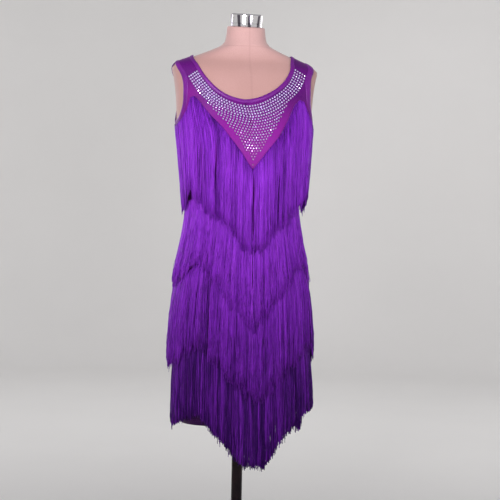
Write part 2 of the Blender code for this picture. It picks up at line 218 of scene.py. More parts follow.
def evenSteps(edge, steps, w, back):
    # Parameters that cut an edge into steps of equal length.
    fine = np.linspace(0, 1, 241)
    run = runOf(bodyPoint(*edge(fine, w, back)))
    return np.interp(np.linspace(0, run[-1], steps + 1), run, fine)


# Helpers for meshes.
collection = bpy.data.collections.new("latinDanceDress")
bpy.context.scene.collection.children.link(collection)


def newPiece(name, mesh, material, replaced=(), smooth=True):
    piece = bpy.data.objects.new(name, mesh)
    collection.objects.link(piece)
    mesh.materials.clear()
    mesh.materials.append(material)
    if smooth:
        mesh.shade_smooth()
    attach(piece, "root")
    if replaced:
        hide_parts(*replaced)
    return piece


def meshFrom(bm, name):
    mesh = bpy.data.meshes.new(name)
    bm.to_mesh(mesh)
    bm.free()
    return mesh


def vertsIn(geometry):
    return [part for part in geometry if isinstance(part, bmesh.types.BMVert)]


def mergeAndTurnOut(bm, distance=1e-6):
    bmesh.ops.remove_doubles(bm, verts=bm.verts, dist=distance)
    bmesh.ops.recalc_face_normals(bm, faces=bm.faces)


def gridOf(points, wrap=False, close=False):
    # A grid of quads laid on an array of points: rows by columns, its ends joined where it closes.
    rows, columns = points.shape[0] - 1, points.shape[1] - 1
    bm = bmesh.new()
    made = bmesh.ops.create_grid(bm, x_segments=columns, y_segments=rows, size=1.0)
    for vert, place in zip(made["verts"], points.reshape(-1, 3)):
        vert.co = place
    if wrap or close:
        bmesh.ops.remove_doubles(bm, verts=bm.verts, dist=1e-6)
    if close:
        holes = [edge for edge in bm.edges if edge.is_boundary]
        bmesh.ops.holes_fill(bm, edges=holes, sides=0)
    bmesh.ops.recalc_face_normals(bm, faces=bm.faces)
    return bm


def spun(profile, steps, merge):
    # A profile of radius and height, spun about the upright axis.
    bm = bmesh.new()
    verts = [bm.verts.new((radius, 0, height)) for radius, height in profile]
    wire = [bm.edges.new(pair) for pair in zip(verts, verts[1:])]
    bmesh.ops.spin(bm, geom=verts + wire, cent=(0, 0, 0), axis=(0, 0, 1), angle=2 * math.pi, steps=steps,
                   use_merge=True, use_duplicate=False)
    mergeAndTurnOut(bm, merge)
    return bm


def manyOf(bm, count, name):
    # Joins copies of one small shape with an Array. Returns the mesh and its points' home places.
    home = np.array([vert.co for vert in bm.verts])
    seed = bpy.data.objects.new(name, meshFrom(bm, name))
    collection.objects.link(seed)
    array = seed.modifiers.new("Copies", "ARRAY")
    array.count = count
    array.use_relative_offset = False
    array.use_constant_offset = True
    array.constant_offset_displace = (0, 0, 0)
    depsgraph = bpy.context.evaluated_depsgraph_get()
    mesh = bpy.data.meshes.new_from_object(seed.evaluated_get(depsgraph))
    mesh.name = name
    old = seed.data
    bpy.data.objects.remove(seed)
    bpy.data.meshes.remove(old)
    assert len(mesh.vertices) == len(home) * count
    return mesh, home


def setPoints(mesh, points):
    mesh.vertices.foreach_set("co", np.ascontiguousarray(points, dtype=np.float32).ravel())
    mesh.update()


def setAttribute(mesh, name, values):
    layer = mesh.attributes.new(name, "FLOAT", "POINT")
    layer.data.foreach_set("value", np.ascontiguousarray(values, dtype=np.float32).ravel())


# Helpers for materials.
def newMaterial(name, finish):
    # A material with a finish's colour and the settings that are the same all over it.
    material = bpy.data.materials.new(name)
    material.use_nodes = True
    colour = (*finishes[finish], 1.0)
    material.diffuse_color = colour
    shader = material.node_tree.nodes["Principled BSDF"]
    shader.inputs["Base Color"].default_value = colour
    for socket, value in surfaces[finish].items():
        shader.inputs[socket].default_value = value
    return material, material.node_tree


def addNode(tree, kind, values=None, **settings):
    node = tree.nodes.new(kind)
    for key, value in settings.items():
        setattr(node, key, value)
    for key, value in (values or {}).items():
        node.inputs[key].default_value = value
    return node


def objectPlace(tree, scale=(1, 1, 1)):
    coordinates = addNode(tree, "ShaderNodeTexCoord")
    mapping = addNode(tree, "ShaderNodeMapping", {"Scale": scale})
    tree.links.new(coordinates.outputs["Object"], mapping.inputs["Vector"])
    return mapping.outputs["Vector"]


def axesOf(tree):
    axes = addNode(tree, "ShaderNodeSeparateXYZ")
    tree.links.new(objectPlace(tree), axes.inputs[0])
    return axes.outputs


def noiseOn(tree, scale, detail=3.0):
    # The scale is one number, or three where the grain is drawn out along an axis.
    even = isinstance(scale, (int, float))
    noise = addNode(tree, "ShaderNodeTexNoise", {"Scale": scale if even else 1.0, "Detail": detail})
    tree.links.new(objectPlace(tree) if even else objectPlace(tree, scale), noise.inputs["Vector"])
    return noise.outputs["Fac"]


def rangeOf(tree, value, low, high, toLow, toHigh):
    node = addNode(tree, "ShaderNodeMapRange", {1: low, 2: high, 3: toLow, 4: toHigh})
    tree.links.new(value, node.inputs[0])
    return node.outputs[0]


def setOrLink(tree, socket, value):
    if isinstance(value, tuple):
        socket.default_value = (*value, 1.0)
    elif isinstance(value, (int, float)):
        socket.default_value = value
    else:
        tree.links.new(value, socket)


def mathOf(tree, operation, first, second=0.0):
    node = addNode(tree, "ShaderNodeMath", operation=operation)
    setOrLink(tree, node.inputs[0], first)
    setOrLink(tree, node.inputs[1], second)
    return node.outputs[0]


def mixColours(tree, factor, first, second):
    node = addNode(tree, "ShaderNodeMix", data_type="RGBA")
    for socket, value in ((0, factor), (6, first), (7, second)):
        setOrLink(tree, node.inputs[socket], value)
    return node.outputs[2]


def blendBy(tree, pattern, low, high, most, first, second):
    # The second colour comes in, up to its most, as the pattern goes from low to high.
    return mixColours(tree, rangeOf(tree, pattern, low, high, 0.0, most), first, second)


def attributeOf(tree, name):
    return addNode(tree, "ShaderNodeAttribute", attribute_name=name).outputs["Fac"]


def joined(material, colour, roughness=None, coat=None, bump=None):
    # Joins patterns to the shader, and a bump's height with its strength and distance.
    tree = material.node_tree
    shader = tree.nodes["Principled BSDF"]
    for socket, value in (("Base Color", colour), ("Roughness", roughness), ("Coat Weight", coat)):
        if value is not None:
            tree.links.new(value, shader.inputs[socket])
    if bump:
        height, strength, distance = bump
        node = addNode(tree, "ShaderNodeBump", {"Strength": strength, "Distance": distance})
        tree.links.new(height, node.inputs["Height"])
        tree.links.new(node.outputs["Normal"], shader.inputs["Normal"])
    return material


# Colours of the finishes, and the shades that vary them.
finishes = {
    "cloth": (0.095, 0.005, 0.155), "clothDeep": (0.060, 0.003, 0.105),
    # The rosy cloth colour is painted light, and also a fleck in the knit; the near-black one is painted
    # shade under the fringes.
    "clothRoseAndPaintedLight": (0.250, 0.014, 0.290), "clothPaintedShade": (0.014, 0.001, 0.032),
    "binding": (0.150, 0.008, 0.225), "bindingDeep": (0.100, 0.006, 0.160),
    "thread": (0.270, 0.030, 0.400),
    # The strand colours span each strand's tone, which is partly random and partly painted shade and light.
    "strand": (0.200, 0.018, 0.480), "strandLight": (0.330, 0.040, 0.700),
    "strandDeep": (0.027, 0.0016, 0.096),
    "heading": (0.200, 0.018, 0.480),
    # The pale form colour is partly painted light at the neck.
    "form": (0.470, 0.270, 0.250), "formWarm": (0.420, 0.232, 0.208), "formPaleAndLit": (0.570, 0.345, 0.330),
    "seam": (0.330, 0.175, 0.170),
    # The rosy stone colours are painted reflection of the cloth; the rim colours are painted shadow round
    # each stone.
    "stone": (0.740, 0.620, 0.980), "stoneRoseReflection": (0.520, 0.170, 0.580),
    "stoneRimShadow": (0.040, 0.008, 0.110), "stoneRimShadowRose": (0.190, 0.020, 0.200),
    # The chrome's dark band is a painted reflection.
    "chrome": (0.900, 0.890, 0.920), "chromeDull": (0.55, 0.52, 0.52), "chromeReflectionBand": (0.060, 0.045, 0.075),
    "lacquer": (0.007, 0.003, 0.006), "lacquerWarm": (0.022, 0.009, 0.011),
    "floor": (0.800, 0.790, 0.780),
}
# Settings that are the same all over a finish.
surfaces = {
    "cloth": {"Roughness": 0.42, "Specular IOR Level": 0.25, "Specular Tint": (0.85, 0.45, 1.0, 1.0),
              "Sheen Weight": 0.14, "Sheen Roughness": 0.35, "Sheen Tint": (0.85, 0.20, 0.90, 1.0)},
    "binding": {"Roughness": 0.38, "Specular Tint": (0.90, 0.55, 1.0, 1.0),
                "Sheen Weight": 0.12, "Sheen Roughness": 0.30, "Sheen Tint": (0.90, 0.35, 1.0, 1.0)},
    "thread": {"Roughness": 0.45},
    "strand": {"Roughness": 0.40, "Specular IOR Level": 0.30, "Specular Tint": (0.70, 0.30, 1.0, 1.0),
               "Sheen Weight": 0.12, "Sheen Roughness": 0.4, "Sheen Tint": (0.60, 0.15, 1.0, 1.0)},
    "heading": {"Roughness": 0.5, "Sheen Weight": 0.2},
    "form": {"Roughness": 0.80, "Sheen Weight": 0.25, "Sheen Roughness": 0.5},
    "stone": {"Roughness": 0.10, "Metallic": 0.5, "Coat Weight": 1.0, "Coat Roughness": 0.02},
    "chrome": {"Roughness": 0.12, "Metallic": 1.0},
    "lacquer": {"Roughness": 0.32, "Specular IOR Level": 0.12, "Coat Weight": 0.06, "Coat Roughness": 0.15},
    "floor": {"Roughness": 0.7},
}
# Where colours come and go, from one height to another (for the side along X), and the most of each. The rose
# band and the side are painted light, under is painted shade below the fringes' heads, the pale neck is
# partly painted light and the chrome's bands are painted reflection.
shading = {
    "frontLightRise": (1.08, 1.12), "frontLightFall": (1.21, 1.30), "paintedFrontLight": 0.8,
    "sideLightAcross": (-0.150, -0.115), "sideLightFall": (1.30, 1.35), "side": 0.55,
    "shadeUnderFringeFall": (1.06, 1.12), "under": 0.85,
    "paleAndLitRise": (1.385, 1.43), "seam": 0.25,
    "chromeReflectionBands": 9.0, "chromeReflectionBand": 0.9,
    "twist": (0.32, 190.0, 1.0),        # slant and turns a metre of the cord's twist
}


def clothMaterial():
    # Stretch jersey: fine ribs, a satin face, slow changes of colour; painted light round the chest and on
    # the -X side, painted shade under the fringes.
    material, tree = newMaterial("stretchCloth", "cloth")
    across, _, height = axesOf(tree)
    colour = blendBy(tree, noiseOn(tree, 9.0), 0.35, 0.65, 1.0, finishes["cloth"], finishes["clothDeep"])
    # painted light: a lighter, rosier band round the body between these heights
    paintedFrontLight = mathOf(tree, "MULTIPLY", rangeOf(tree, height, *shading["frontLightFall"], shading["paintedFrontLight"], 0.0),
                  rangeOf(tree, height, *shading["frontLightRise"], 0.0, 1.0))
    # painted light on the -X side, below the arm
    side = mathOf(tree, "MULTIPLY", rangeOf(tree, across, *shading["sideLightAcross"], shading["side"], 0.0),
                  rangeOf(tree, height, *shading["sideLightFall"], 1.0, 0.0))
    colour = mixColours(tree, mathOf(tree, "MAXIMUM", paintedFrontLight, side), colour, finishes["clothRoseAndPaintedLight"])
    fine = noiseOn(tree, (900, 900, 260), 2.0)
    colour = blendBy(tree, fine, 0.4, 0.7, 0.25, colour, finishes["clothRoseAndPaintedLight"])
    # painted shade: the cloth goes nearly black low down, under the fringes
    under = rangeOf(tree, height, *shading["shadeUnderFringeFall"], shading["under"], 0.0)
    colour = mixColours(tree, under, colour, finishes["clothPaintedShade"])
    return joined(material, colour, rangeOf(tree, fine, 0.3, 0.7, 0.36, 0.52), bump=(fine, 0.25, 0.0003))


def bindingMaterial():
    material, tree = newMaterial("foldedBinding", "binding")
    fine = noiseOn(tree, (700, 700, 700), 2.0)
    colour = blendBy(tree, noiseOn(tree, 22.0), 0.35, 0.7, 0.8, finishes["binding"], finishes["bindingDeep"])
    return joined(material, colour, rangeOf(tree, fine, 0.3, 0.7, 0.32, 0.46), bump=(fine, 0.2, 0.0003))


def threadMaterial():
    material, tree = newMaterial("sewingThread", "thread")
    fine = noiseOn(tree, 1500.0, 1.0)
    colour = blendBy(tree, fine, 0.3, 0.7, 1.0, finishes["thread"], finishes["bindingDeep"])
    return joined(material, colour, bump=(fine, 0.3, 0.0002))


def strandMaterial():
    # Rayon cord: each strand has its own tone, partly random and partly painted shade and light, streaks run
    # down it and its twist is a slanting bump.
    material, tree = newMaterial("rayonFringe", "strand")
    streak = rangeOf(tree, noiseOn(tree, (260, 260, 14), 2.0), 0.25, 0.75, -0.22, 0.22)
    shade = mathOf(tree, "ADD", attributeOf(tree, "tone"), streak)
    colour = blendBy(tree, shade, 0.0, 0.5, 1.0, finishes["strandDeep"], finishes["strand"])
    colour = blendBy(tree, shade, 0.45, 1.0, 1.0, colour, finishes["strandLight"])
    twist = addNode(tree, "ShaderNodeTexWave", {"Scale": 1.0, "Distortion": 0.4, "Detail": 1.0},
                    wave_type="BANDS", bands_direction="DIAGONAL")
    around = addNode(tree, "ShaderNodeMapping", {"Scale": shading["twist"]})
    unwrapped = addNode(tree, "ShaderNodeUVMap", uv_map="strand")
    tree.links.new(unwrapped.outputs["UV"], around.inputs["Vector"])
    tree.links.new(around.outputs["Vector"], twist.inputs["Vector"])
    return joined(material, colour, rangeOf(tree, shade, 0.0, 1.0, 0.50, 0.34),
                  bump=(twist.outputs["Fac"], 0.35, 0.0002))


def tapeMaterial():
    # The fringe's heading: a narrow knitted band, its loops shown by a fine bump.
    material, tree = newMaterial("knittedHeading", "heading")
    fine = noiseOn(tree, (650, 650, 420), 2.0)
    both = mathOf(tree, "ADD", fine, noiseOn(tree, (60, 60, 60), 2.0))
    colour = blendBy(tree, both, 0.75, 1.25, 1.0, finishes["bindingDeep"], finishes["clothRoseAndPaintedLight"])
    return joined(material, colour, bump=(fine, 0.5, 0.0006))


def formMaterial():
    # Jersey drawn over the form, warmer and darker in patches, paler at the neck (partly a paler jersey,
    # partly painted light), its seams marked.
    material, tree = newMaterial("formJersey", "form")
    colour = blendBy(tree, noiseOn(tree, 7.0, 4.0), 0.35, 0.7, 0.8, finishes["form"], finishes["formWarm"])
    # paler at the neck: partly a paler jersey, partly painted light
    colour = blendBy(tree, axesOf(tree)[2], *shading["paleAndLitRise"], 1.0, colour, finishes["formPaleAndLit"])
    fine = noiseOn(tree, (750, 750, 420), 2.0)
    colour = blendBy(tree, fine, 0.35, 0.75, 0.25, colour, finishes["seam"])
    marked = mathOf(tree, "MULTIPLY", attributeOf(tree, "seam"), shading["seam"])
    colour = mixColours(tree, marked, colour, finishes["seam"])
    return joined(material, colour, rangeOf(tree, fine, 0.3, 0.7, 0.72, 0.90), bump=(fine, 0.3, 0.0004))


def stoneMaterial():
    # Foil-backed cut glass: facets mirror the room, a rose tint on the lower stones is painted reflection of
    # the cloth, and the dark dull rim round each stone is a painted shadow.
    material, tree = newMaterial("cutStone", "stone")
    roseReflection, rimShadow = attributeOf(tree, "roseReflection"), attributeOf(tree, "rimShadow")
    # painted reflection of the cloth on the stones
    glass = mixColours(tree, roseReflection, finishes["stone"], finishes["stoneRoseReflection"])
    # painted shadow: the dark rim round each stone
    under = mixColours(tree, roseReflection, finishes["stoneRimShadow"], finishes["stoneRimShadowRose"])
    return joined(material, mixColours(tree, rimShadow, glass, under), rangeOf(tree, rimShadow, 0.0, 1.0, 0.10, 0.60),
                  coat=rangeOf(tree, rimShadow, 0.0, 1.0, 1.0, 0.0))


def chromeMaterial():
    # Bright plate with fine turning marks, and painted reflection: dark bands round its wall.
    material, tree = newMaterial("chromeCap", "chrome")
    across, along, _ = axesOf(tree)
    colour = blendBy(tree, noiseOn(tree, 40.0), 0.4, 0.7, 0.3, finishes["chrome"], finishes["chromeDull"])
    # painted reflection: dark bands round the wall, as of a room's darker parts
    around = mathOf(tree, "MULTIPLY", mathOf(tree, "ARCTAN2", along, across), shading["chromeReflectionBands"])
    reflectedBands = rangeOf(tree, mathOf(tree, "SINE", around), -0.80, -0.35, shading["chromeReflectionBand"], 0.0)
    paintedReflection = mathOf(tree, "MULTIPLY", reflectedBands, attributeOf(tree, "wall"))
    colour = mixColours(tree, paintedReflection, colour, finishes["chromeReflectionBand"])
    return joined(material, colour, rangeOf(tree, noiseOn(tree, (60, 60, 900)), 0.3, 0.7, 0.06, 0.17))


def lacquerMaterial():
    # Dark lacquered steel with a warm cast and light rubbing.
    material, tree = newMaterial("darkLacquer", "lacquer")
    fine = noiseOn(tree, (240, 240, 240))
    slow = noiseOn(tree, 26.0, 5.0)
    colour = blendBy(tree, slow, 0.4, 0.7, 1.0, finishes["lacquer"], finishes["lacquerWarm"])
    return joined(material, colour, rangeOf(tree, fine, 0.3, 0.7, 0.26, 0.42), bump=(fine, 0.12, 0.0004))


def floorMaterial():
    material, tree = newMaterial("paleFloor", "floor")
    shaded = tuple(0.96 * part for part in finishes["floor"])
    return joined(material, mixColours(tree, noiseOn(tree, 2.0), finishes["floor"], shaded))


cloth, folded, thread = clothMaterial(), bindingMaterial(), threadMaterial()
rayon, knitted, jersey = strandMaterial(), tapeMaterial(), formMaterial()
cutGlass, chrome, lacquer = stoneMaterial(), chromeMaterial(), lacquerMaterial()
print("materials made")


# The dress's two panels, thin shells with soft creases.
panel = {
    "halfColumns": 30, "skirtRows": 74, "yokeRows": 36, "rowDip": (1.4, 2.8),
    "tuck": 0.0015,                     # how far the cloth runs into a binding
    "radius": 0.145,                    # turns angles into distances round the body
    "seamWidth": 0.004, "seamDip": 0.0006, "seamTop": 1.36, "apart": 1e-4,
    # angle of the middle, height of the middle, half length, half width, depth, lean in metres a metre
    "creases": (
        (24, 1.335, 0.016, 0.006, -0.0006, 0.5), (-26, 1.330, 0.020, 0.006, -0.0006, -0.4),
        (62, 1.245, 0.030, 0.008, 0.0007, 1.2), (-63, 1.250, 0.034, 0.008, 0.0007, -1.1),
        (72, 1.215, 0.032, 0.009, -0.0007, 0.9), (-74, 1.205, 0.028, 0.009, -0.0007, -0.8),
        (14, 0.985, 0.050, 0.010, 0.0006, 1.6), (-30, 0.975, 0.060, 0.010, -0.0007, 1.9),
        (46, 0.700, 0.110, 0.012, 0.0007, 0.1), (-20, 0.560, 0.090, 0.014, -0.0008, 0.0),
        (150, 1.330, 0.030, 0.007, -0.0006, 0.9), (-148, 1.325, 0.026, 0.007, -0.0006, -0.8),
        (112, 1.238, 0.034, 0.008, 0.0007, -1.0), (-115, 1.232, 0.030, 0.008, 0.0007, 1.1),
        (165, 1.010, 0.060, 0.010, 0.0007, 2.0), (-160, 0.985, 0.070, 0.010, -0.0008, 1.8),
        (170, 0.640, 0.120, 0.013, -0.0008, 0.1), (-140, 0.560, 0.090, 0.013, 0.0007, 0.0),
    ),
}


def creaseLift(turn, height):
    total = np.zeros(np.broadcast(turn, height).shape)
    for angle, middle, long, wide, depth, lean in panel["creases"]:
        along = (height - middle) / long
        side = turnBetween(turn, math.radians(angle)) * panel["radius"] - lean * (height - middle)
        total = total + depth * np.exp(-along ** 2 - (side / wide) ** 2)
    return total


def makePanel(name, node, back):
    # Two halves side by side, from the side seams to the centre, joined below the neckline.
    w = edges["binding"] - panel["tuck"]
    arm = evenSteps(armEdge, panel["yokeRows"], w, back)
    neck = evenSteps(neckEdge, panel["yokeRows"], w, back)
    row = np.arange(panel["skirtRows"] + panel["yokeRows"] + 1)
    yoke = np.maximum(row - panel["skirtRows"], 0)
    sideTurn, sideHeight = armEdge(arm[yoke], w, back)
    midTurn, midHeight = neckEdge(neck[yoke], w, back)
    half = np.linspace(0, 1, panel["halfColumns"] + 1)
    u = np.concatenate([half, half[::-1]])
    turn = sideTurn[:, None] + (midTurn - sideTurn)[:, None] * u
    dip, fall = panel["rowDip"]
    bend = (1 + dip * (1 - yoke / panel["yokeRows"]) ** fall)[:, None]
    height = sideHeight[:, None] + (midHeight - sideHeight)[:, None] * u ** bend
    share = np.minimum(row / panel["skirtRows"], 1.0)[:, None]
    height = np.where(share < 1, edges["hem"] + (height - edges["hem"]) * share, height)
    turn = turn * np.repeat((-1, 1), len(half))
    fromSeam = np.abs(np.abs(turn) - math.pi / 2) * panel["radius"]
    seam = panel["seamDip"] * np.exp(-(fromSeam / panel["seamWidth"]) ** 2)
    lift = creaseLift(turn, height) - np.where(height < panel["seamTop"], seam, 0)
    point = surfacePoint(turn, height, lift)
    # the side seams and the shoulders end a hair short of the other panel
    inward = panel["apart"] if back else -panel["apart"]
    point[:, [0, -1], 1] = np.where((row <= panel["skirtRows"])[:, None], inward, point[:, [0, -1], 1])
    point[-1, :, 1] = inward
    bm = gridOf(point)
    between = list(bm.faces)[len(half) - 1::2 * len(half) - 1]
    bmesh.ops.delete(bm, geom=between, context="FACES_ONLY")
    mergeAndTurnOut(bm)
    middle = max(bm.faces, key=lambda face: abs(face.calc_center_median().y))
    if (middle.normal.y > 0) != back:
        bmesh.ops.reverse_faces(bm, faces=bm.faces)
    piece = newPiece(name, meshFrom(bm, name), cloth, [node])
    wall = piece.modifiers.new("Cloth", "SOLIDIFY")
    wall.thickness = body["cloth"]
    wall.offset = 1.0
    return piece


frontCloth = makePanel("frontCloth", "front_panel", False)
backCloth = makePanel("backCloth", "back_panel", True)
print("panels made")


# Bindings: a folded strip round the neckline and each armhole, its face a little domed.
binding = {
    "steps": 40,
    # distance inside the finished edge, lift from the cloth's inner face
    "profile": ((0.0005, -0.0001), (0.0000, 0.0007), (0.0004, 0.0017), (0.0018, 0.0023), (0.0045, 0.0024),
                (0.0066, 0.0022), (0.0074, 0.0018), (0.0082, 0.0021), (0.0093, 0.0020), (0.0100, 0.0013),
                (0.0098, 0.0001), (0.0050, -0.0001)),
    "pucker": 0.00012, "puckerTurns": (1.9, 0.73), "puckerLift": 0.001,     # only what stands higher
    "stitchInside": 0.0074, "stitchLift": 0.0020,
    "stitchPitch": 0.0030, "stitchLong": 0.0021, "stitchWide": 0.0005,
}
# name, node, edge, whether it is mirrored, whether it runs on round the other side
boundEdges = (
    ("neckBinding", "neck_binding", neckEdge, False, True),
    ("armholeBindingLeft", "armhole_binding_left", armEdge, False, False),
    ("armholeBindingRight", "armhole_binding_right", armEdge, True, False),
)


def edgeRun(edge, mirror, whole):
    # Angles and heights round an edge, front and back, as a function of a distance w inside it.
    marks = {back: evenSteps(edge, binding["steps"], edges["binding"], back) for back in (False, True)}
    half = [(False, t) for t in marks[False]] + [(True, t) for t in marks[True][-2::-1]]
    route = [(*stop, -1 if mirror else 1) for stop in half]
    if whole:
        route += [(*stop, -1) for stop in half[-2:0:-1]]

    def at(w):
        places = [edge(t, w, back) for back, t, _ in route]
        turn = np.array([float(place[0]) * stop[2] for place, stop in zip(places, route)])
        return turn, np.array([float(place[1]) for place in places])
    return at


def makeBinding(name, node, edge, mirror, whole):
    at = edgeRun(edge, mirror, whole)
    first, second = binding["puckerTurns"]
    rows = []
    for w, lift in binding["profile"]:
        turn, height = at(w)
        step = np.arange(len(turn))
        wave = binding["pucker"] * (np.sin(step * first + w * 300) + 0.6 * np.sin(step * second))
        rows.append(surfacePoint(turn, height, lift + np.where(lift > binding["puckerLift"], wave, 0)))
    rows.append(rows[0])
    points = np.stack(rows, axis=1)
    if not np.allclose(points[0], points[-1], atol=1e-5):
        points = np.concatenate([points, points[:1]])
    return newPiece(name, meshFrom(gridOf(points, wrap=True), name), folded, [node])


neckBinding, *armBindings = [makeBinding(*row) for row in boundEdges]
print("bindings made")


def alongRun(points, pitch):
    # Even stations along a line of points: place, and the direction of the line there.
    run = runOf(points)

    def at(stations):
        return np.stack([np.interp(stations, run, points[:, i]) for i in range(3)], axis=-1)
    stations = np.arange(pitch / 2, run[-1], pitch)
    return at(stations), unit(at(stations + 1e-3) - at(stations - 1e-3))


def makeStitches(name, lines, long, wide, pitch):
    # Short stitches laid end to end along lines of points, each line with its outward normals.
    places, aims, outs = [], [], []
    for line, normals in lines:
        place, aim = alongRun(line, pitch)
        nearest = [int(np.argmin(np.linalg.norm(line - p, axis=1))) for p in place]
        places.append(place)
        aims.append(aim)
        outs.append(normals[nearest])
    place, aim, out = np.concatenate(places), np.concatenate(aims), np.concatenate(outs)
    side = unit(np.cross(out, aim))
    bm = bmesh.new()
    bmesh.ops.create_icosphere(bm, subdivisions=1, radius=0.5)
    mesh, home = manyOf(bm, len(place), name)
    points = (place[:, None] + home[None, :, 0:1] * aim[:, None] * long
              + home[None, :, 1:2] * side[:, None] * wide + home[None, :, 2:3] * out[:, None] * wide)
    setPoints(mesh, points)
    return newPiece(name, mesh, thread)


def bindingLine(edge, mirror, whole):
    turn, height = edgeRun(edge, mirror, whole)(binding["stitchInside"])
    point, normal, _ = surfaceFrame(turn, height, binding["stitchLift"])
    return np.concatenate([point, point[:1]]), np.concatenate([normal, normal[:1]])


bindingStitches = makeStitches("bindingStitches", [bindingLine(*row[2:]) for row in boundEdges],
                               binding["stitchLong"], binding["stitchWide"], binding["stitchPitch"])

hem = {"heights": (0.469, 0.4725), "pitch": 0.0034, "long": 0.0024, "wide": 0.0006, "steps": 240}


def hemLine(height):
    turn = np.linspace(0, 2 * math.pi, hem["steps"] + 1)
    return surfaceFrame(turn, np.full_like(turn, height), body["cloth"])[:2]


hemStitches = makeStitches("hemStitches", [hemLine(height) for height in hem["heights"]],
                           hem["long"], hem["wide"], hem["pitch"])
print("stitches made")


# Four tiers of fringe, each with its knitted heading.
fringe = {
    "strands": 3150, "radius": 0.00062, "uneven": (0.8, 1.2), "taper": 0.12, "start": 0.0006,
    "evenDown": 0.1, "spacing": 0.3,    # strands are spaced evenly this far below the mean heading
    "drops": (0.0, 0.035, 0.12, 0.23, 0.35, 0.47, 0.59, 0.70, 0.81, 0.91, 1.0),    # shares of the length
    "lifts": (0.0029, 0.0039, 0.0049), "liftJitter": 0.0003,                       # of the three layers
    "over": 0.0036, "overDrop": 0.03,   # a strand starts over its heading and comes back within this share
    "flareBend": 0.6, "flareFront": 0.35, "swayBend": 0.4,
    "clumpNarrow": 0.003, "clumpWide": 0.011, "clumpDepth": 0.0010, "clumpTone": 0.14,
    "clumpRagged": 0.0055, "ragged": 0.0050,
    "pullDrop": 0.7, "waves": (1.5, 3.6), "waveSizes": (0.3, 1.4), "drift": 0.0008,
    "strays": 0.04, "strayDrift": 0.006, "strayLift": 0.0015,
    "partingReach": 0.007, "partingFade": (0.12, 0.10),
    # layer tones are painted shade, darker on the inner strands; the tip shade starts at its share, the left
    # light reaches this far
    "tone": 0.13, "layerPaintedShades": (-0.10, 0.0, 0.06), "paintedTipShadeFrom": 0.7, "leftReach": 0.15, "shadeReach": 0.060,
}
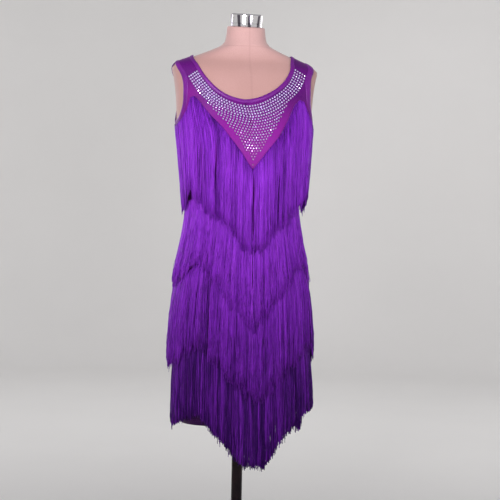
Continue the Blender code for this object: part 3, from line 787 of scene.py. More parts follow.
# A tier's turn moves it round the body, in degrees. Its tone runs from 0, deep, to 1, light, and is lower in
# the lower tiers as painted shade toward the hem. The tip shade is painted shade, darker at the tips and
# lighter at the heads, the left light is painted light on the -X side and shade is painted shade at the
# heads. Each row gives, by angle, the height of the heading, the length of the fringe, and how straight it
# falls (1 hangs plumb,
# 0 follows the body). Each parting gives an angle, the shares of the length it opens from and to, and half
# its width.
tiers = (
    {"name": "fringeTier1", "node": "fringe_tier_1", "seed": 11, "turn": 0.0, "proud": 0.0005,
     "thick": 1.0, "flare": 0.008, "sway": 0.003, "wave": 0.0008, "pull": 0.30, "rag": 1.35,
     "tone": 0.55, "paintedTipShade": 0.04, "left": 0.0, "shade": 0.24,
     "rows": (
         (-180, 1.165, 0.210, 0.50), (-134, 1.290, 0.232, 0.50), (-122, 1.256, 0.230, 0.45),
         (-110, 1.233, 0.214, 0.30), (-90, 1.222, 0.202, 0.16), (-80, 1.227, 0.204, 0.22),
         (-72, 1.232, 0.192, 0.34), (-66, 1.241, 0.184, 0.46), (-61, 1.2507, 0.185, 0.56),
         (-57, 1.2595, 0.2215, 0.62), (-49, 1.288, 0.262, 0.75), (-43, 1.291, 0.277, 0.75),
         (-38, 1.277, 0.274, 0.75), (-32, 1.249, 0.256, 0.75), (-26, 1.218, 0.235, 0.75),
         (-20, 1.188, 0.222, 0.75), (-13, 1.162, 0.221, 0.75), (-10, 1.151, 0.231, 0.75),
         (-7, 1.139, 0.230, 0.75), (0, 1.1105, 0.2055, 0.75), (6, 1.135, 0.226, 0.75),
         (9, 1.147, 0.228, 0.75), (12, 1.1584, 0.2224, 0.75), (20, 1.188, 0.222, 0.75),
         (26, 1.218, 0.238, 0.75), (32, 1.249, 0.251, 0.75), (38, 1.277, 0.265, 0.75),
         (43, 1.291, 0.267, 0.75), (49, 1.288, 0.253, 0.75), (56, 1.263, 0.221, 0.64),
         (60, 1.252, 0.190, 0.57), (66, 1.2407, 0.186, 0.46), (72, 1.2318, 0.189, 0.34),
         (78, 1.2282, 0.197, 0.24), (90, 1.222, 0.199, 0.16), (110, 1.233, 0.214, 0.30),
         (122, 1.256, 0.230, 0.45), (134, 1.290, 0.232, 0.50), (180, 1.165, 0.210, 0.50)),
     "partings": (
         (0.5, 0.02, 0.90, 0.0021), (-33, 0.25, 0.9, 0.0012), (21, 0.4, 1.0, 0.0012),
         (-18, 0.5, 1.0, 0.0010), (180, 0.02, 0.8, 0.0013), (150, 0.4, 1.0, 0.0012))},
    {"name": "fringeTier2", "node": "fringe_tier_2", "seed": 12, "turn": 5.0, "proud": 0.0004,
     "thick": 1.0, "flare": 0.0125, "sway": 0.0, "wave": 0.0016, "pull": 0.30, "rag": 1.6,
     "tone": 0.55, "paintedTipShade": 0.10, "left": 0.16, "shade": 0.0,
     "rows": (
         (-180, 0.960, 0.210, 0.40), (-131, 1.086, 0.210, 0.40), (-95, 1.030, 0.209, 0.30),
         (-80, 1.033, 0.198, 0.32), (-71, 1.041, 0.192, 0.34), (-66, 1.048, 0.190, 0.35),
         (-62, 1.055, 0.191, 0.36), (-58, 1.063, 0.195, 0.37), (-49, 1.086, 0.209, 0.40),
         (0, 0.916, 0.208, 0.50), (4, 0.930, 0.195, 0.50), (14, 0.9646, 0.190, 0.48),
         (22, 0.9923, 0.184, 0.46), (39, 1.0513, 0.189, 0.42), (45, 1.072, 0.198, 0.41),
         (49, 1.060, 0.184, 0.40), (52, 1.047, 0.176, 0.39), (55, 1.038, 0.172, 0.38),
         (65, 1.031, 0.181, 0.35), (85, 1.030, 0.213, 0.31), (131, 1.086, 0.210, 0.40),
         (180, 0.960, 0.210, 0.40)),
     "partings": (
         (1, 0.0, 0.6, 0.0012), (6, 0.6, 0.85, 0.0014), (-28, 0.5, 1.0, 0.0014),
         (30, 0.55, 1.0, 0.0012), (175, 0.1, 0.7, 0.0012))},
    {"name": "fringeTier3", "node": "fringe_tier_3", "seed": 13, "turn": 6.0, "proud": 0.0,
     "thick": 1.0, "flare": 0.024, "sway": 0.003, "wave": 0.0013, "pull": 0.26, "rag": 1.4,
     "tone": 0.37, "paintedTipShade": 0.10, "left": 0.10, "shade": 0.0,
     "rows": (
         (-180, 0.775, 0.210, 0.50), (-131, 0.882, 0.208, 0.50), (-90, 0.820, 0.210, 0.50),
         (-49, 0.882, 0.208, 0.50), (0, 0.738, 0.210, 0.50), (49, 0.882, 0.208, 0.50),
         (90, 0.830, 0.206, 0.50), (131, 0.882, 0.208, 0.50), (180, 0.775, 0.210, 0.50)),
     "partings": (
         (-47, 0.18, 0.85, 0.0016), (10, 0.1, 0.7, 0.0014), (-14, 0.4, 0.9, 0.0014),
         (33, 0.5, 1.0, 0.0014), (160, 0.3, 0.9, 0.0016))},
    {"name": "fringeTier4", "node": "fringe_tier_4", "seed": 14, "turn": 3.5, "proud": 0.0,
     "thick": 1.5, "flare": 0.024, "sway": 0.009, "wave": 0.0010, "pull": 0.06, "rag": 0.7,
     "tone": 0.025, "paintedTipShade": 0.04, "left": 0.0, "shade": 0.0,
     "rows": (
         (-180, 0.606, 0.210, 0.50), (-131, 0.699, 0.210, 0.50), (-90, 0.665, 0.210, 0.50),
         (-49, 0.699, 0.210, 0.50), (-24, 0.624, 0.210, 0.50), (-17, 0.603, 0.210, 0.50),
         (-13, 0.584, 0.210, 0.50), (-9, 0.573, 0.210, 0.50), (0, 0.569, 0.210, 0.50),
         (9, 0.574, 0.210, 0.50), (13, 0.587, 0.210, 0.50), (17, 0.608, 0.210, 0.50),
         (24, 0.634, 0.210, 0.50), (31, 0.654, 0.212, 0.50), (38, 0.6715, 0.209, 0.50),
         (39.5, 0.675, 0.224, 0.50), (45, 0.689, 0.240, 0.50), (47, 0.694, 0.204, 0.50),
         (52, 0.699, 0.200, 0.50), (58, 0.700, 0.199, 0.50), (72, 0.692, 0.184, 0.50),
         (95, 0.669, 0.182, 0.50), (131, 0.699, 0.210, 0.50), (180, 0.606, 0.210, 0.50)),
     "partings": (
         (42, 0.06, 1.0, 0.0046), (-40, 0.4, 1.0, 0.0014), (-165, 0.3, 1.0, 0.0016))},
)


def tierValues(tier, turn):
    rows = np.array(tier["rows"])
    angle = np.degrees(turnBetween(turn, math.radians(tier["turn"])))
    return tuple(np.interp(angle, rows[:, 0], rows[:, i]) for i in (1, 2, 3))


def hangingPaths(tier, turn, drops, lift, uneven):
    # Each strand hangs from the widest part above it and stands off more toward its end.
    head, length, straight = (value[:, None] for value in tierValues(tier, turn))
    height = head - fringe["start"] - (length - fringe["start"] + uneven[:, None]) * drops
    over = (fringe["over"] + tier["proud"] - lift[:, None]) * np.exp(-(drops / fringe["overDrop"]) ** 2)
    point = surfacePoint(turn[:, None], height, lift[:, None] + over)
    reach = np.hypot(point[..., 0], point[..., 1])
    widest = np.maximum.accumulate(reach, axis=1)
    flare = tier["flare"] * (1 - (1 - fringe["flareFront"]) * np.cos(turn[:, None]) ** 2)
    out = (reach + (widest - reach) * straight + flare * drops ** fringe["flareBend"]) / reach
    point[..., 0] = point[..., 0] * out + tier["sway"] * drops ** fringe["swayBend"]
    point[..., 1] = point[..., 1] * out
    return point


def evenTurns(height, count):
    # Angles spaced evenly round the body at one height.
    fine = np.linspace(-math.pi, math.pi, 1441)
    run = runOf(bodyPoint(fine, np.full_like(fine, height)))
    stations = (np.arange(count) + 0.5) / count * run[-1]
    return np.interp(stations, run, fine), stations, run[-1]


def clumpsOf(rng, stations, girth):
    # Cuts the round into clumps of uneven width. Returns each strand's clump and its middle.
    cuts = [0.0]
    while cuts[-1] < girth:
        cuts.append(cuts[-1] + rng.uniform(fringe["clumpNarrow"], fringe["clumpWide"]))
    cuts = np.array(cuts)
    number = np.searchsorted(cuts, stations, side="right") - 1
    middle = (cuts[number] + cuts[number + 1]) / 2
    return number, middle, len(cuts)


def gathered(rng, layer, stations, girth):
    # How far each strand is from the middle of its clump, and its clump's own tone, end and depth.
    shift, *own = (np.zeros(len(stations)) for _ in range(4))
    for depth in range(len(fringe["lifts"])):
        number, middle, groups = clumpsOf(rng, stations, girth)
        mine = layer == depth
        shift[mine] = (middle - stations)[mine]
        for values, spread in zip(own, ("clumpTone", "clumpRagged", "clumpDepth")):
            values[mine] = rng.normal(0, fringe[spread], groups)[number][mine]
    return (shift, *own)


def strayed(rng, tier, drops, count):
    # Waves and drift of each strand: along the round, and outward.
    phase = rng.uniform(0, 2 * math.pi, (count, 2))
    waves = rng.uniform(*fringe["waves"], (count, 2))
    size = tier["wave"] * (0.25 + drops) * rng.uniform(*fringe["waveSizes"], count)[:, None]
    wavy = size * np.sin(waves[:, :1] * 2 * math.pi * drops + phase[:, :1])
    deep = 0.5 * size * np.sin(waves[:, 1:] * 2 * math.pi * drops + phase[:, 1:])
    stray = rng.random(count) < fringe["strays"]
    far, near = (rng.normal(0, fringe[spread], count) for spread in ("strayDrift", "drift"))
    drift = np.where(stray, far, near)[:, None] * drops ** 1.5
    return wavy, drift, deep, np.where(stray, fringe["strayLift"], 0.0)[:, None] * drops


def partedBy(tier, turn, drops, girth):
    # How far the strands beside the partings stand apart from them.
    opening, closing = fringe["partingFade"]
    parted = np.zeros((len(turn), len(drops)))
    for angle, start, end, half in tier["partings"]:
        away = turnBetween(turn, math.radians(angle)) * girth / (2 * math.pi)
        opened = smoothStep(drops, start, start + opening) * (1 - smoothStep(drops, end, end + closing))
        side = np.sign(away) * half * np.exp(-(away / fringe["partingReach"]) ** 2)
        parted = parted + side[:, None] * opened
    return parted


def oneStrand(rings):
    # A three-sided tube, closed at both ends, whose points know their ring and side.
    bm = bmesh.new()
    bmesh.ops.create_circle(bm, cap_ends=False, segments=3, radius=1.0)
    ring = list(bm.edges)
    for _ in range(rings - 1):
        made = bmesh.ops.extrude_edge_only(bm, edges=ring)["geom"]
        bmesh.ops.translate(bm, verts=vertsIn(made), vec=(0, 0, -1))
        ring = [edge for edge in made if isinstance(edge, bmesh.types.BMEdge)
                and abs(edge.verts[0].co.z - edge.verts[1].co.z) < 0.5]
    bmesh.ops.holes_fill(bm, edges=[edge for edge in bm.edges if edge.is_boundary], sides=3)
    bmesh.ops.recalc_face_normals(bm, faces=bm.faces)
    return bm


def setStrandUv(mesh, side, along):
    # Across is the side of the tube, cut where it comes round again, and up is the distance in metres.
    corners = np.empty(len(mesh.loops), dtype=np.int32)
    mesh.loops.foreach_get("vertex_index", corners)
    sides = side[corners].astype(float)
    starts = np.empty(len(mesh.polygons), dtype=np.int32)
    mesh.polygons.foreach_get("loop_start", starts)
    face = np.searchsorted(starts, np.arange(len(corners)), side="right") - 1
    wraps = np.zeros(len(starts), dtype=bool)
    np.logical_or.at(wraps, face, sides == 2)
    lowest = np.full(len(starts), 9.0)
    np.minimum.at(lowest, face, sides)
    sides = np.where(wraps[face] & (lowest[face] == 0) & (sides == 0), 3.0, sides)
    layer = mesh.uv_layers.new(name="strand")
    layer.uv.foreach_set("vector", np.stack([sides / 3, along[corners]], axis=1).astype(np.float32).ravel())


def makeFringe(tier):
    rng = np.random.default_rng(tier["seed"])
    count, drops = fringe["strands"], np.array(fringe["drops"])
    middle = np.mean([row[1] for row in tier["rows"]]) - fringe["evenDown"]
    turn, stations, girth = evenTurns(middle, count)
    turn = turn + rng.normal(0, fringe["spacing"], count) * (2 * math.pi / count)
    layer = rng.permutation(np.arange(count) % len(fringe["lifts"]))
    lift = np.array(fringe["lifts"])[layer] + tier["proud"] + rng.normal(0, fringe["liftJitter"], count)
    shift, clumpTone, clumpEnd, clumpOut = gathered(rng, layer, stations, girth)
    uneven = (rng.normal(0, fringe["ragged"], count) + clumpEnd) * tier["rag"]
    path = hangingPaths(tier, turn, drops, lift, uneven)

    reach = np.hypot(path[..., 0], path[..., 1])[..., None]
    radial = np.concatenate([path[..., :2] / reach, np.zeros_like(reach)], axis=-1)
    tangent = np.stack([-radial[..., 1], radial[..., 0], np.zeros_like(radial[..., 0])], axis=-1)
    pulled = tier["pull"] * smoothStep(drops, 0.0, fringe["pullDrop"]) * shift[:, None]
    wavy, drift, deep, lifted = strayed(rng, tier, drops, count)
    path = path + tangent * (pulled + wavy + drift + partedBy(tier, turn, drops, girth))[..., None]
    path = path + radial * (clumpOut[:, None] * drops + deep + lifted)[..., None]

    mesh, home = manyOf(oneStrand(len(drops)), count, tier["name"])
    ring = np.rint(-home[:, 2]).astype(int)
    side = np.rint(np.degrees(np.arctan2(home[:, 1], home[:, 0])) / 120).astype(int) % 3
    angle = side * (2 * math.pi / 3) + rng.uniform(0, 2 * math.pi, (count, 1))
    thick = fringe["radius"] * tier["thick"] * rng.uniform(*fringe["uneven"], (count, 1))
    thick = thick * (1 - fringe["taper"] * drops[ring])
    points = path[:, ring] + (thick * np.cos(angle))[..., None] * radial[:, ring]
    points = points + (thick * np.sin(angle))[..., None] * tangent[:, ring]
    setPoints(mesh, points)

    along = drops[ring] * tierValues(tier, turn)[1][:, None]
    # the tier's tone, lower in the lower tiers as painted shade toward the hem, with random tone by clump and
    # strand
    tone = tier["tone"] + clumpTone + rng.normal(0, fringe["tone"], count)
    # painted shade: the inner layers darker, the outer lighter
    tone = tone + np.array(fringe["layerPaintedShades"])[layer]
    # painted shade: darker toward the tips, lighter at the heads
    tone = tone[:, None] + tier["paintedTipShade"] * (fringe["paintedTipShadeFrom"] - drops[ring])
    # painted light on the -X side
    tone = tone + tier["left"] * np.clip(-points[..., 0] / fringe["leftReach"], 0, 1)
    # painted shade at the heads
    tone = tone - tier["shade"] * (1 - smoothStep(along, 0.0, fringe["shadeReach"]))
    setAttribute(mesh, "tone", np.clip(tone, 0, 1).ravel())
    setStrandUv(mesh, np.tile(side, count), along.ravel())
    return newPiece(tier["name"], mesh, rayon, [tier["node"]])


heading = {
    "steps": 360,
    # distance below the top of the heading, lift from the cloth's inner face
    "profile": ((0.0000, 0.0018), (0.0000, 0.0026), (0.0008, 0.0031), (0.0030, 0.0031), (0.0052, 0.0030),
                (0.0070, 0.0028), (0.0075, 0.0023), (0.0072, 0.0018)),
    "scallop": 0.0003, "scallops": 170, "scallopDown": 0.002,      # height, waves a radian, how far down
}


def makeHeading(tier):
    turn = np.linspace(-math.pi, math.pi, heading["steps"] + 1)
    top = tierValues(tier, turn)[0]
    rows = []
    for down, lift in heading["profile"]:
        wave = heading["scallop"] * np.sin(turn * heading["scallops"]) * (down < heading["scallopDown"])
        rows.append(surfacePoint(turn, top - down + wave, lift + tier["proud"]))
    rows.append(rows[0])
    bm = gridOf(np.stack(rows, axis=1), wrap=True)
    name = tier["name"] + "Heading"
    return newPiece(name, meshFrom(bm, name), knitted)


fringes, headings = [], []
for tier in tiers:
    fringes.append(makeFringe(tier))
    headings.append(makeHeading(tier))
print("fringe made:", sum(len(piece.data.vertices) for piece in fringes), "points")


# Rhinestones: a band of rows along the neckline, and a point of rows below it to the fringe.
stones = {
    # distance of the first row from the neck's edge and the rows' pitch, at the centre and at the strap
    "firstRow": (0.0182, 0.0120), "rowPitch": (0.0066, 0.0062), "columnPitch": 0.0075,
    "bandRows": 5, "rows": 24, "bandEnd": 0.80, "leftEnd": 0.955, "bandSpare": 0.004, "seed": 21,
    "bandSize": 0.0052, "pointSize": 0.0046, "height": 0.0019, "standOff": 0.0001,
    # shares of a stone's width and height; the rim is a dark disc of painted shadow round the stone
    "facets": 8, "girdle": 0.25, "table": 0.52, "rimShadow": 1.34, "rimShadowHeight": 0.16,
    # the rose reflection is painted reflection of the cloth: least in the top rows, most low down, with a
    # random spread
    "tilt": 0.07, "roseReflection": (0.10, 0.90), "roseReflectionSpread": 0.20,
    # height, greatest distance of a stone from the centre line
    "outline": ((1.128, 0.0006), (1.140, 0.0085), (1.180, 0.0355), (1.220, 0.0640), (1.240, 0.0800),
                (1.280, 0.1050), (1.320, 0.1370), (1.340, 0.1495), (1.365, 0.1620)),
}


def stoneShape():
    # Facets between the girdle and a turned table, over a thin girdle and a flat back.
    bm = bmesh.new()
    bmesh.ops.create_circle(bm, cap_ends=True, segments=stones["facets"], radius=0.5)
    wall = bmesh.ops.extrude_face_region(bm, geom=bm.faces[:])["geom"]
    bmesh.ops.translate(bm, verts=vertsIn(wall), vec=(0, 0, stones["girdle"]))
    top = [part for part in wall if isinstance(part, bmesh.types.BMFace)]
    verts = vertsIn(bmesh.ops.extrude_face_region(bm, geom=top)["geom"])
    bmesh.ops.delete(bm, geom=top, context="FACES_ONLY")
    bmesh.ops.translate(bm, verts=verts, vec=(0, 0, 1 - stones["girdle"]))
    bmesh.ops.scale(bm, verts=verts, vec=(stones["table"], stones["table"], 1))
    turn = Matrix.Rotation(math.pi / stones["facets"], 3, "Z")
    bmesh.ops.rotate(bm, verts=verts, cent=(0, 0, 0), matrix=turn)
    bmesh.ops.triangulate(bm, faces=[f for f in bm.faces if len(f.verts) == 4 and abs(f.normal.z) > 0.1])
    mergeAndTurnOut(bm)
    # painted shadow: a dark flat disc round the girdle, darkening the cloth round the stone
    bmesh.ops.create_circle(bm, cap_ends=True, segments=stones["facets"], radius=stones["rimShadow"] / 2,
                            matrix=Matrix.Translation((0, 0, stones["rimShadowHeight"])))
    return bm


def stonePlaces():
    # Angle, height and row of every stone.
    found = []
    t = np.linspace(0, stones["bandEnd"], 400)
    first, pitch = (np.interp(t, (0, stones["bandEnd"]), stones[name]) for name in ("firstRow", "rowPitch"))
    outHeight, outLimit = np.array(stones["outline"]).T
    for row in range(stones["rows"]):
        inBand = row < stones["bandRows"]
        turn, height = neckEdge(t, first + row * pitch, False)
        run = runOf(bodyPoint(turn, height))
        count = round(run[-1] / stones["columnPitch"])
        shift = 0.5 if row % 2 and not inBand else 0.0
        for station in (np.arange(count + 1) + shift) / count * run[-1]:
            a, z = np.interp(station, run, turn), np.interp(station, run, height)
            limit = np.interp(z, outHeight, outLimit) + (stones["bandSpare"] if inBand else 0.0)
            if station > run[-1] + 1e-6 or float(bodyPoint(a, z)[0]) > limit:
                continue
            onLeft = 1e-6 < station < stones["leftEnd"] * run[-1]
            for sign in ((-1, 1) if onLeft else (1,)):
                found.append((sign * a, z, row))
    return np.array(found)


def makeStones():
    rng = np.random.default_rng(stones["seed"])
    places = stonePlaces()
    count = len(places)
    point, normal, across = surfaceFrame(places[:, 0], places[:, 1], body["cloth"] + stones["standOff"])
    tilt = rng.normal(0, stones["tilt"], (count, 2))
    up = unit(np.cross(normal, across))
    normal = unit(normal + tilt[:, :1] * across + tilt[:, 1:] * up)
    spin = rng.uniform(0, 2 * math.pi, (count, 1))
    first = unit(np.cos(spin) * across + np.sin(spin) * up)
    first = unit(first - normal * np.sum(first * normal, axis=1, keepdims=True))
    second = np.cross(normal, first)
    mesh, home = manyOf(stoneShape(), count, "rhinestones")
    size = np.where(places[:, 2] < stones["bandRows"], stones["bandSize"], stones["pointSize"])[:, None, None]
    x, y, z = (home[None, :, i:i + 1] for i in range(3))
    setPoints(mesh, point[:, None] + x * size * first[:, None] + y * size * second[:, None]
              + z * stones["height"] * normal[:, None])
    # painted reflection of the cloth: more on the lower rows, with a random spread
    low = (places[:, 2] - stones["bandRows"] + 1) / (stones["rows"] - stones["bandRows"])
    least, more = stones["roseReflection"]
    roseReflection = np.clip(least + more * low, least, more) + rng.normal(0, stones["roseReflectionSpread"], count)
    setAttribute(mesh, "roseReflection", np.repeat(np.clip(roseReflection, 0, 1), len(home)))
    # marks the dark disc of painted shadow round each stone
    setAttribute(mesh, "rimShadow", np.tile(np.hypot(home[:, 0], home[:, 1]) > 0.51, count).astype(float))
    print("rhinestones made:", count)
    return newPiece("rhinestones", mesh, cutGlass, smooth=False)


rhinestones = makeStones()


# The form: jersey drawn over foam, with a leaning neck, and its seams let in.
form = {
    "bottom": 0.690, "neckTop": 1.483, "lean": math.radians(10.0), "leanFrom": 1.420,
    "columns": 72, "rowStep": 0.009, "rowLeast": 0.0006,
    # seams run down the front and the back (degrees) and round the neck (height)
    "seams": (0, 180), "neckSeam": 1.4275, "seamDeep": 0.0003, "seamWide": 0.0011, "seamShown": 1.3,
    "bySeam": (0.4, 0.9, 1.6),          # columns beside an upright seam, in degrees
    "byNeckSeam": (0.0015, 0.0030),     # rows beside the neck's seam
    "topRound": 0.0025, "topRows": (0.0025, 0.0008, 0.0), "topDeep": 0.002,
    "bottomIn": 0.006, "bottomRound": 0.012,
}


def leanOf(height):
    return np.clip((height - form["leanFrom"]) / (form["neckTop"] - form["leanFrom"]), 0, 1)


def makeForm():
    seams = np.radians(form["seams"])
    near = np.radians([sign * off for sign in (-1, 1) for off in form["bySeam"]])
    turn = np.concatenate([np.linspace(-math.pi, math.pi, form["columns"] + 1)[:-1],
                           *(seam + near for seam in seams)])
    turn = np.unique(np.round(np.mod(turn + math.pi, 2 * math.pi) - math.pi, 9))
    turn = np.append(turn, turn[0] + 2 * math.pi)
    ringNear = [form["neckSeam"] + sign * off for sign in (-1, 1) for off in (0, *form["byNeckSeam"])]
    height = np.arange(form["bottom"] + form["bottomIn"], form["neckTop"] - 0.003, form["rowStep"])
    height = np.unique(np.concatenate([height, ringNear, [form["neckTop"] - off for off in form["topRows"]]]))
    height = height[np.concatenate([[True], np.diff(height) > form["rowLeast"]])]
    grid = np.broadcast_to(height[:, None], (len(height), len(turn)))
    radius = np.maximum(section("halfWidth", grid), 0.04)
    groove = np.zeros_like(grid)
    for seam in seams:
        away = turnBetween(turn, seam)[None] * radius * 0.8
        groove = groove + np.exp(-(away / form["seamWide"]) ** 2)
    groove = np.clip(groove + np.exp(-((grid - form["neckSeam"]) / form["seamWide"]) ** 2), 0, 1)
    edge = -form["topDeep"] * np.clip(1 - (form["neckTop"] - grid) / form["topRound"], 0, 1) ** 2
    point = surfacePoint(turn[None, :], grid, edge - form["seamDeep"] * groove, eased=False)
    point[..., 2] += point[..., 1] * math.tan(form["lean"]) * leanOf(grid)
    lowest = surfacePoint(turn, np.full_like(turn, form["bottom"] + form["bottomRound"]), -form["bottomIn"],
                          eased=False)
    lowest[:, 2] = form["bottom"]
    mesh = meshFrom(gridOf(np.concatenate([lowest[None], point]), close=True), "form")
    places = np.array([vert.co for vert in mesh.vertices])
    shown = form["seamWide"] * form["seamShown"]
    collar = places[:, 2] - places[:, 1] * math.tan(form["lean"]) * leanOf(places[:, 2])
    onSeam = np.exp(-(places[:, 0] / shown) ** 2) + np.exp(-((collar - form["neckSeam"]) / shown) ** 2)
    setAttribute(mesh, "seam", np.clip(onSeam, 0, 1))
    return newPiece("dressForm", mesh, jersey, ["form_torso"])


# The stand's turned pieces: cap, flange with its socket, pole and base.
stand = {
    "seam": 0.0004,                     # room between the pieces
    "sharp": math.radians(35),          # edges that turn more are sharp
    "capRadius": 0.0405, "capHeight": 0.033, "capRound": 0.004, "capFoot": 0.001, "capFlat": 0.010,
    "capDish": ((0.0, 0.0006), (0.006, 0.0004)),       # radius, depth below the top
    "capGroove": ((0.0, 0.0100), (0.0008, 0.0092), (0.0008, 0.0078), (0.0, 0.0070)),   # depth, height
    "wallDeep": 0.0015, "wallTop": 0.003,              # what counts as the cap's wall
    "flangeRadius": 0.050, "flangeTall": 0.006, "flangeRound": 0.0015, "flangeReach": 0.040,
    "socketRadius": 0.020, "socketFillet": 0.004, "socketRound": 0.0015,
    "poleRadius": 0.014, "poleRings": (0.42, 0.24), "poleRound": 0.001,
    "hubTop": 0.034, "hubRound": 0.002, "baseRadius": 0.200, "baseHeight": 0.006, "baseRound": 0.0025,
    # radius and height down the hub and out over the base
    "baseSlope": ((0.021, 0.0240), (0.028, 0.0125), (0.034, 0.0085), (0.044, 0.0072), (0.120, 0.0065)),
}


def turned(name, profile, steps, material, node, matrix=None):
    # A profile of radius and height, run down its outer side, is spun about the axis.
    bm = spun(profile, steps, 1e-6)
    if matrix:
        bmesh.ops.transform(bm, matrix=matrix, verts=bm.verts)
    mesh = meshFrom(bm, name)
    piece = newPiece(name, mesh, material, [node])
    mesh.set_sharp_from_angle(angle=stand["sharp"])
    return piece


def roundCorner(x, z, radius, start, end, steps):
    angles = np.radians(np.linspace(start, end, steps + 1))
    return [(x + radius * math.cos(a), z + radius * math.sin(a)) for a in angles]


def makeCap():
    radius, tall, bend, foot = (stand[key] for key in ("capRadius", "capHeight", "capRound", "capFoot"))
    profile = [*((x, tall - down) for x, down in stand["capDish"]), (radius - stand["capFlat"], tall),
               *roundCorner(radius - bend, tall - bend, bend, 90, 0, 6),
               *((radius - deep, z) for deep, z in stand["capGroove"]),
               *roundCorner(radius - foot, foot, foot, 0, -90, 3), (0.0, 0.0)]
    middle = float(section("back", form["neckTop"]) - section("front", form["neckTop"])) / 2
    top = form["neckTop"] + middle * math.tan(form["lean"]) + stand["seam"]
    matrix = Matrix.Translation((0, middle, top)) @ Matrix.Rotation(form["lean"], 4, "X")
    cap = turned("neckCap", profile, 72, chrome, "neck_cap", matrix)
    upright = matrix.inverted()
    places = np.array([upright @ vert.co for vert in cap.data.vertices])
    outer = np.hypot(places[:, 0], places[:, 1]) > radius - stand["wallDeep"]
    setAttribute(cap.data, "wall", (outer & (places[:, 2] < tall - stand["wallTop"])).astype(float))


def makeStand():
    seam, low, hubTop = stand["seam"], form["bottom"] - stand["seam"], stand["hubTop"]
    under, foot = low - stand["flangeTall"], low - stand["flangeReach"]
    radius, bend, socket = stand["flangeRadius"], stand["flangeRound"], stand["socketRadius"]
    fillet, corner = stand["socketFillet"], stand["socketRound"]
    flange = [(0.0, low), (radius - 0.001, low), *roundCorner(radius - bend, low - bend, bend, 60, -60, 4),
              (radius - 0.003, under), (socket + fillet, under),
              *roundCorner(socket + fillet, under - fillet, fillet, 90, 180, 4),
              (socket, foot + corner), (socket - corner, foot), (0.0, foot)]
    turned("poleFlange", flange, 56, lacquer, "pole_flange")

    radius, bend, top, end = stand["poleRadius"], stand["poleRound"], foot - seam, hubTop + seam
    pole = [(0.0, top), (radius - bend, top), (radius, top - bend),
            *((radius, z) for z in stand["poleRings"]),
            (radius, end + bend), (radius - bend, end), (0.0, end)]
    turned("standPole", pole, 40, lacquer, "pole")

    radius, tall, bend, corner = (stand[key] for key in ("baseRadius", "baseHeight", "baseRound", "hubRound"))
    base = [(0.0, hubTop), *roundCorner(socket - corner, hubTop - corner, corner, 90, 20, 3),
            *stand["baseSlope"], (radius - 0.004, tall),
            *roundCorner(radius - bend, tall / 2, bend, 75, -10, 5),
            (radius - 0.0005, 0.0006), (radius - 0.002, 0.0), (0.0, 0.0)]
    turned("standBase", base, 96, lacquer, "stand_base")


dressForm = makeForm()
makeCap()
makeStand()
print("form and stand made")


# Studio: a round pale floor that sweeps up into a wall all round, soft lamps, and the camera.
studio = {
    "floorRadius": 5.2, "sweepRadius": 1.4, "sweepSteps": 16, "wallTop": 4.4, "roundSteps": 96,
    "world": (0.94, 0.93, 0.96), "worldStrength": 0.34,
    "washLamps": 8, "washRadius": 1.9, "washHeight": 3.6, "washReach": 6.2, "washAim": 0.9,
    "washPower": 36, "washSize": 1.0,
    # name, place, target, cone in degrees, radius of the lamp, power, colour
    "lamps": (
        ("keyLamp", (-1.5, -2.9, 1.45), (0.0, 0.0, 1.31), 34, 0.50, 390, (1.0, 0.97, 0.99)),
        ("fillLamp", (1.2, -3.0, 1.45), (0.0, 0.0, 1.31), 34, 0.50, 115, (0.98, 0.96, 1.0)),
        ("backLampLeft", (-1.9, 2.6, 1.70), (0.0, 0.0, 1.15), 40, 0.60, 80, (0.98, 0.97, 1.0)),
        ("backLampRight", (1.9, 2.6, 1.70), (0.0, 0.0, 1.15), 40, 0.60, 80, (0.98, 0.97, 1.0)),
    ),
    "cameraTurn": -12.0, "cameraAway": 3.2, "cameraHeight": 0.95, "aimHeight": 0.905, "aimSide": 0.0221,
    "lens": 88.6, "sensor": 36.0, "roll": 1.2,
}


def inStudio(name, data):
    thing = bpy.data.objects.new(name, data)
    bpy.context.scene.collection.objects.link(thing)
    return thing


def hangLamp(lamp, place, target):
    holder = inStudio(lamp.name, lamp)
    holder.location = place
    holder.rotation_euler = (Vector(target) - Vector(place)).to_track_quat("-Z", "Y").to_euler()


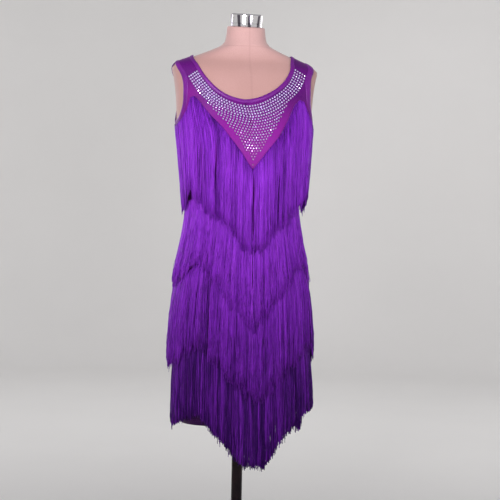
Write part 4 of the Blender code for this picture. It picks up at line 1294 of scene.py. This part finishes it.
def makeRoom():
    floor, sweep = studio["floorRadius"], studio["sweepRadius"]
    angles = np.linspace(0, math.pi / 2, studio["sweepSteps"] + 1)[1:]
    profile = [(0.0, 0.0), (floor, 0.0),
               *((floor + sweep * math.sin(a), sweep * (1 - math.cos(a))) for a in angles),
               (floor + sweep, studio["wallTop"])]
    mesh = meshFrom(spun(profile, studio["roundSteps"], 1e-5), "studioFloor")
    mesh.shade_smooth()
    mesh.materials.append(floorMaterial())
    inStudio("studioFloor", mesh)
    world = bpy.data.worlds.new("studioRoom")
    bpy.context.scene.world = world
    world.use_nodes = True
    background = world.node_tree.nodes["Background"]
    background.inputs["Color"].default_value = (*studio["world"], 1.0)
    background.inputs["Strength"].default_value = studio["worldStrength"]


def makeLamps():
    for name, place, target, cone, radius, watts, colour in studio["lamps"]:
        lamp = bpy.data.lights.new(name, "SPOT")
        lamp.spot_size = math.radians(cone)
        lamp.spot_blend = 1.0
        lamp.shadow_soft_size = radius
        lamp.energy = watts
        lamp.color = colour
        hangLamp(lamp, place, target)
    near, far = studio["washRadius"], studio["washReach"]
    for i in range(studio["washLamps"]):
        a = (i + 0.5) * 2 * math.pi / studio["washLamps"]
        lamp = bpy.data.lights.new("washLamp" + str(i + 1), "AREA")
        lamp.size = studio["washSize"]
        lamp.energy = studio["washPower"]
        hangLamp(lamp, (near * math.sin(a), near * math.cos(a), studio["washHeight"]),
                 (far * math.sin(a), far * math.cos(a), studio["washAim"]))


def makeCamera():
    a, away, side = math.radians(studio["cameraTurn"]), studio["cameraAway"], studio["aimSide"]
    place = Vector((math.sin(a) * away, -math.cos(a) * away, studio["cameraHeight"]))
    aim = Vector((math.cos(a) * side, math.sin(a) * side, studio["aimHeight"]))
    data = bpy.data.cameras.new("mainCamera")
    data.lens = studio["lens"]
    data.sensor_width = studio["sensor"]
    camera = inStudio("mainCamera", data)
    camera.location = place
    look = (aim - place).to_track_quat("-Z", "Y").to_matrix()
    camera.rotation_euler = (look @ Matrix.Rotation(math.radians(studio["roll"]), 3, "Z")).to_euler()
    bpy.context.scene.camera = camera


makeRoom()
makeLamps()
makeCamera()
bpy.context.scene.view_settings.view_transform = "Standard"
print("studio made")
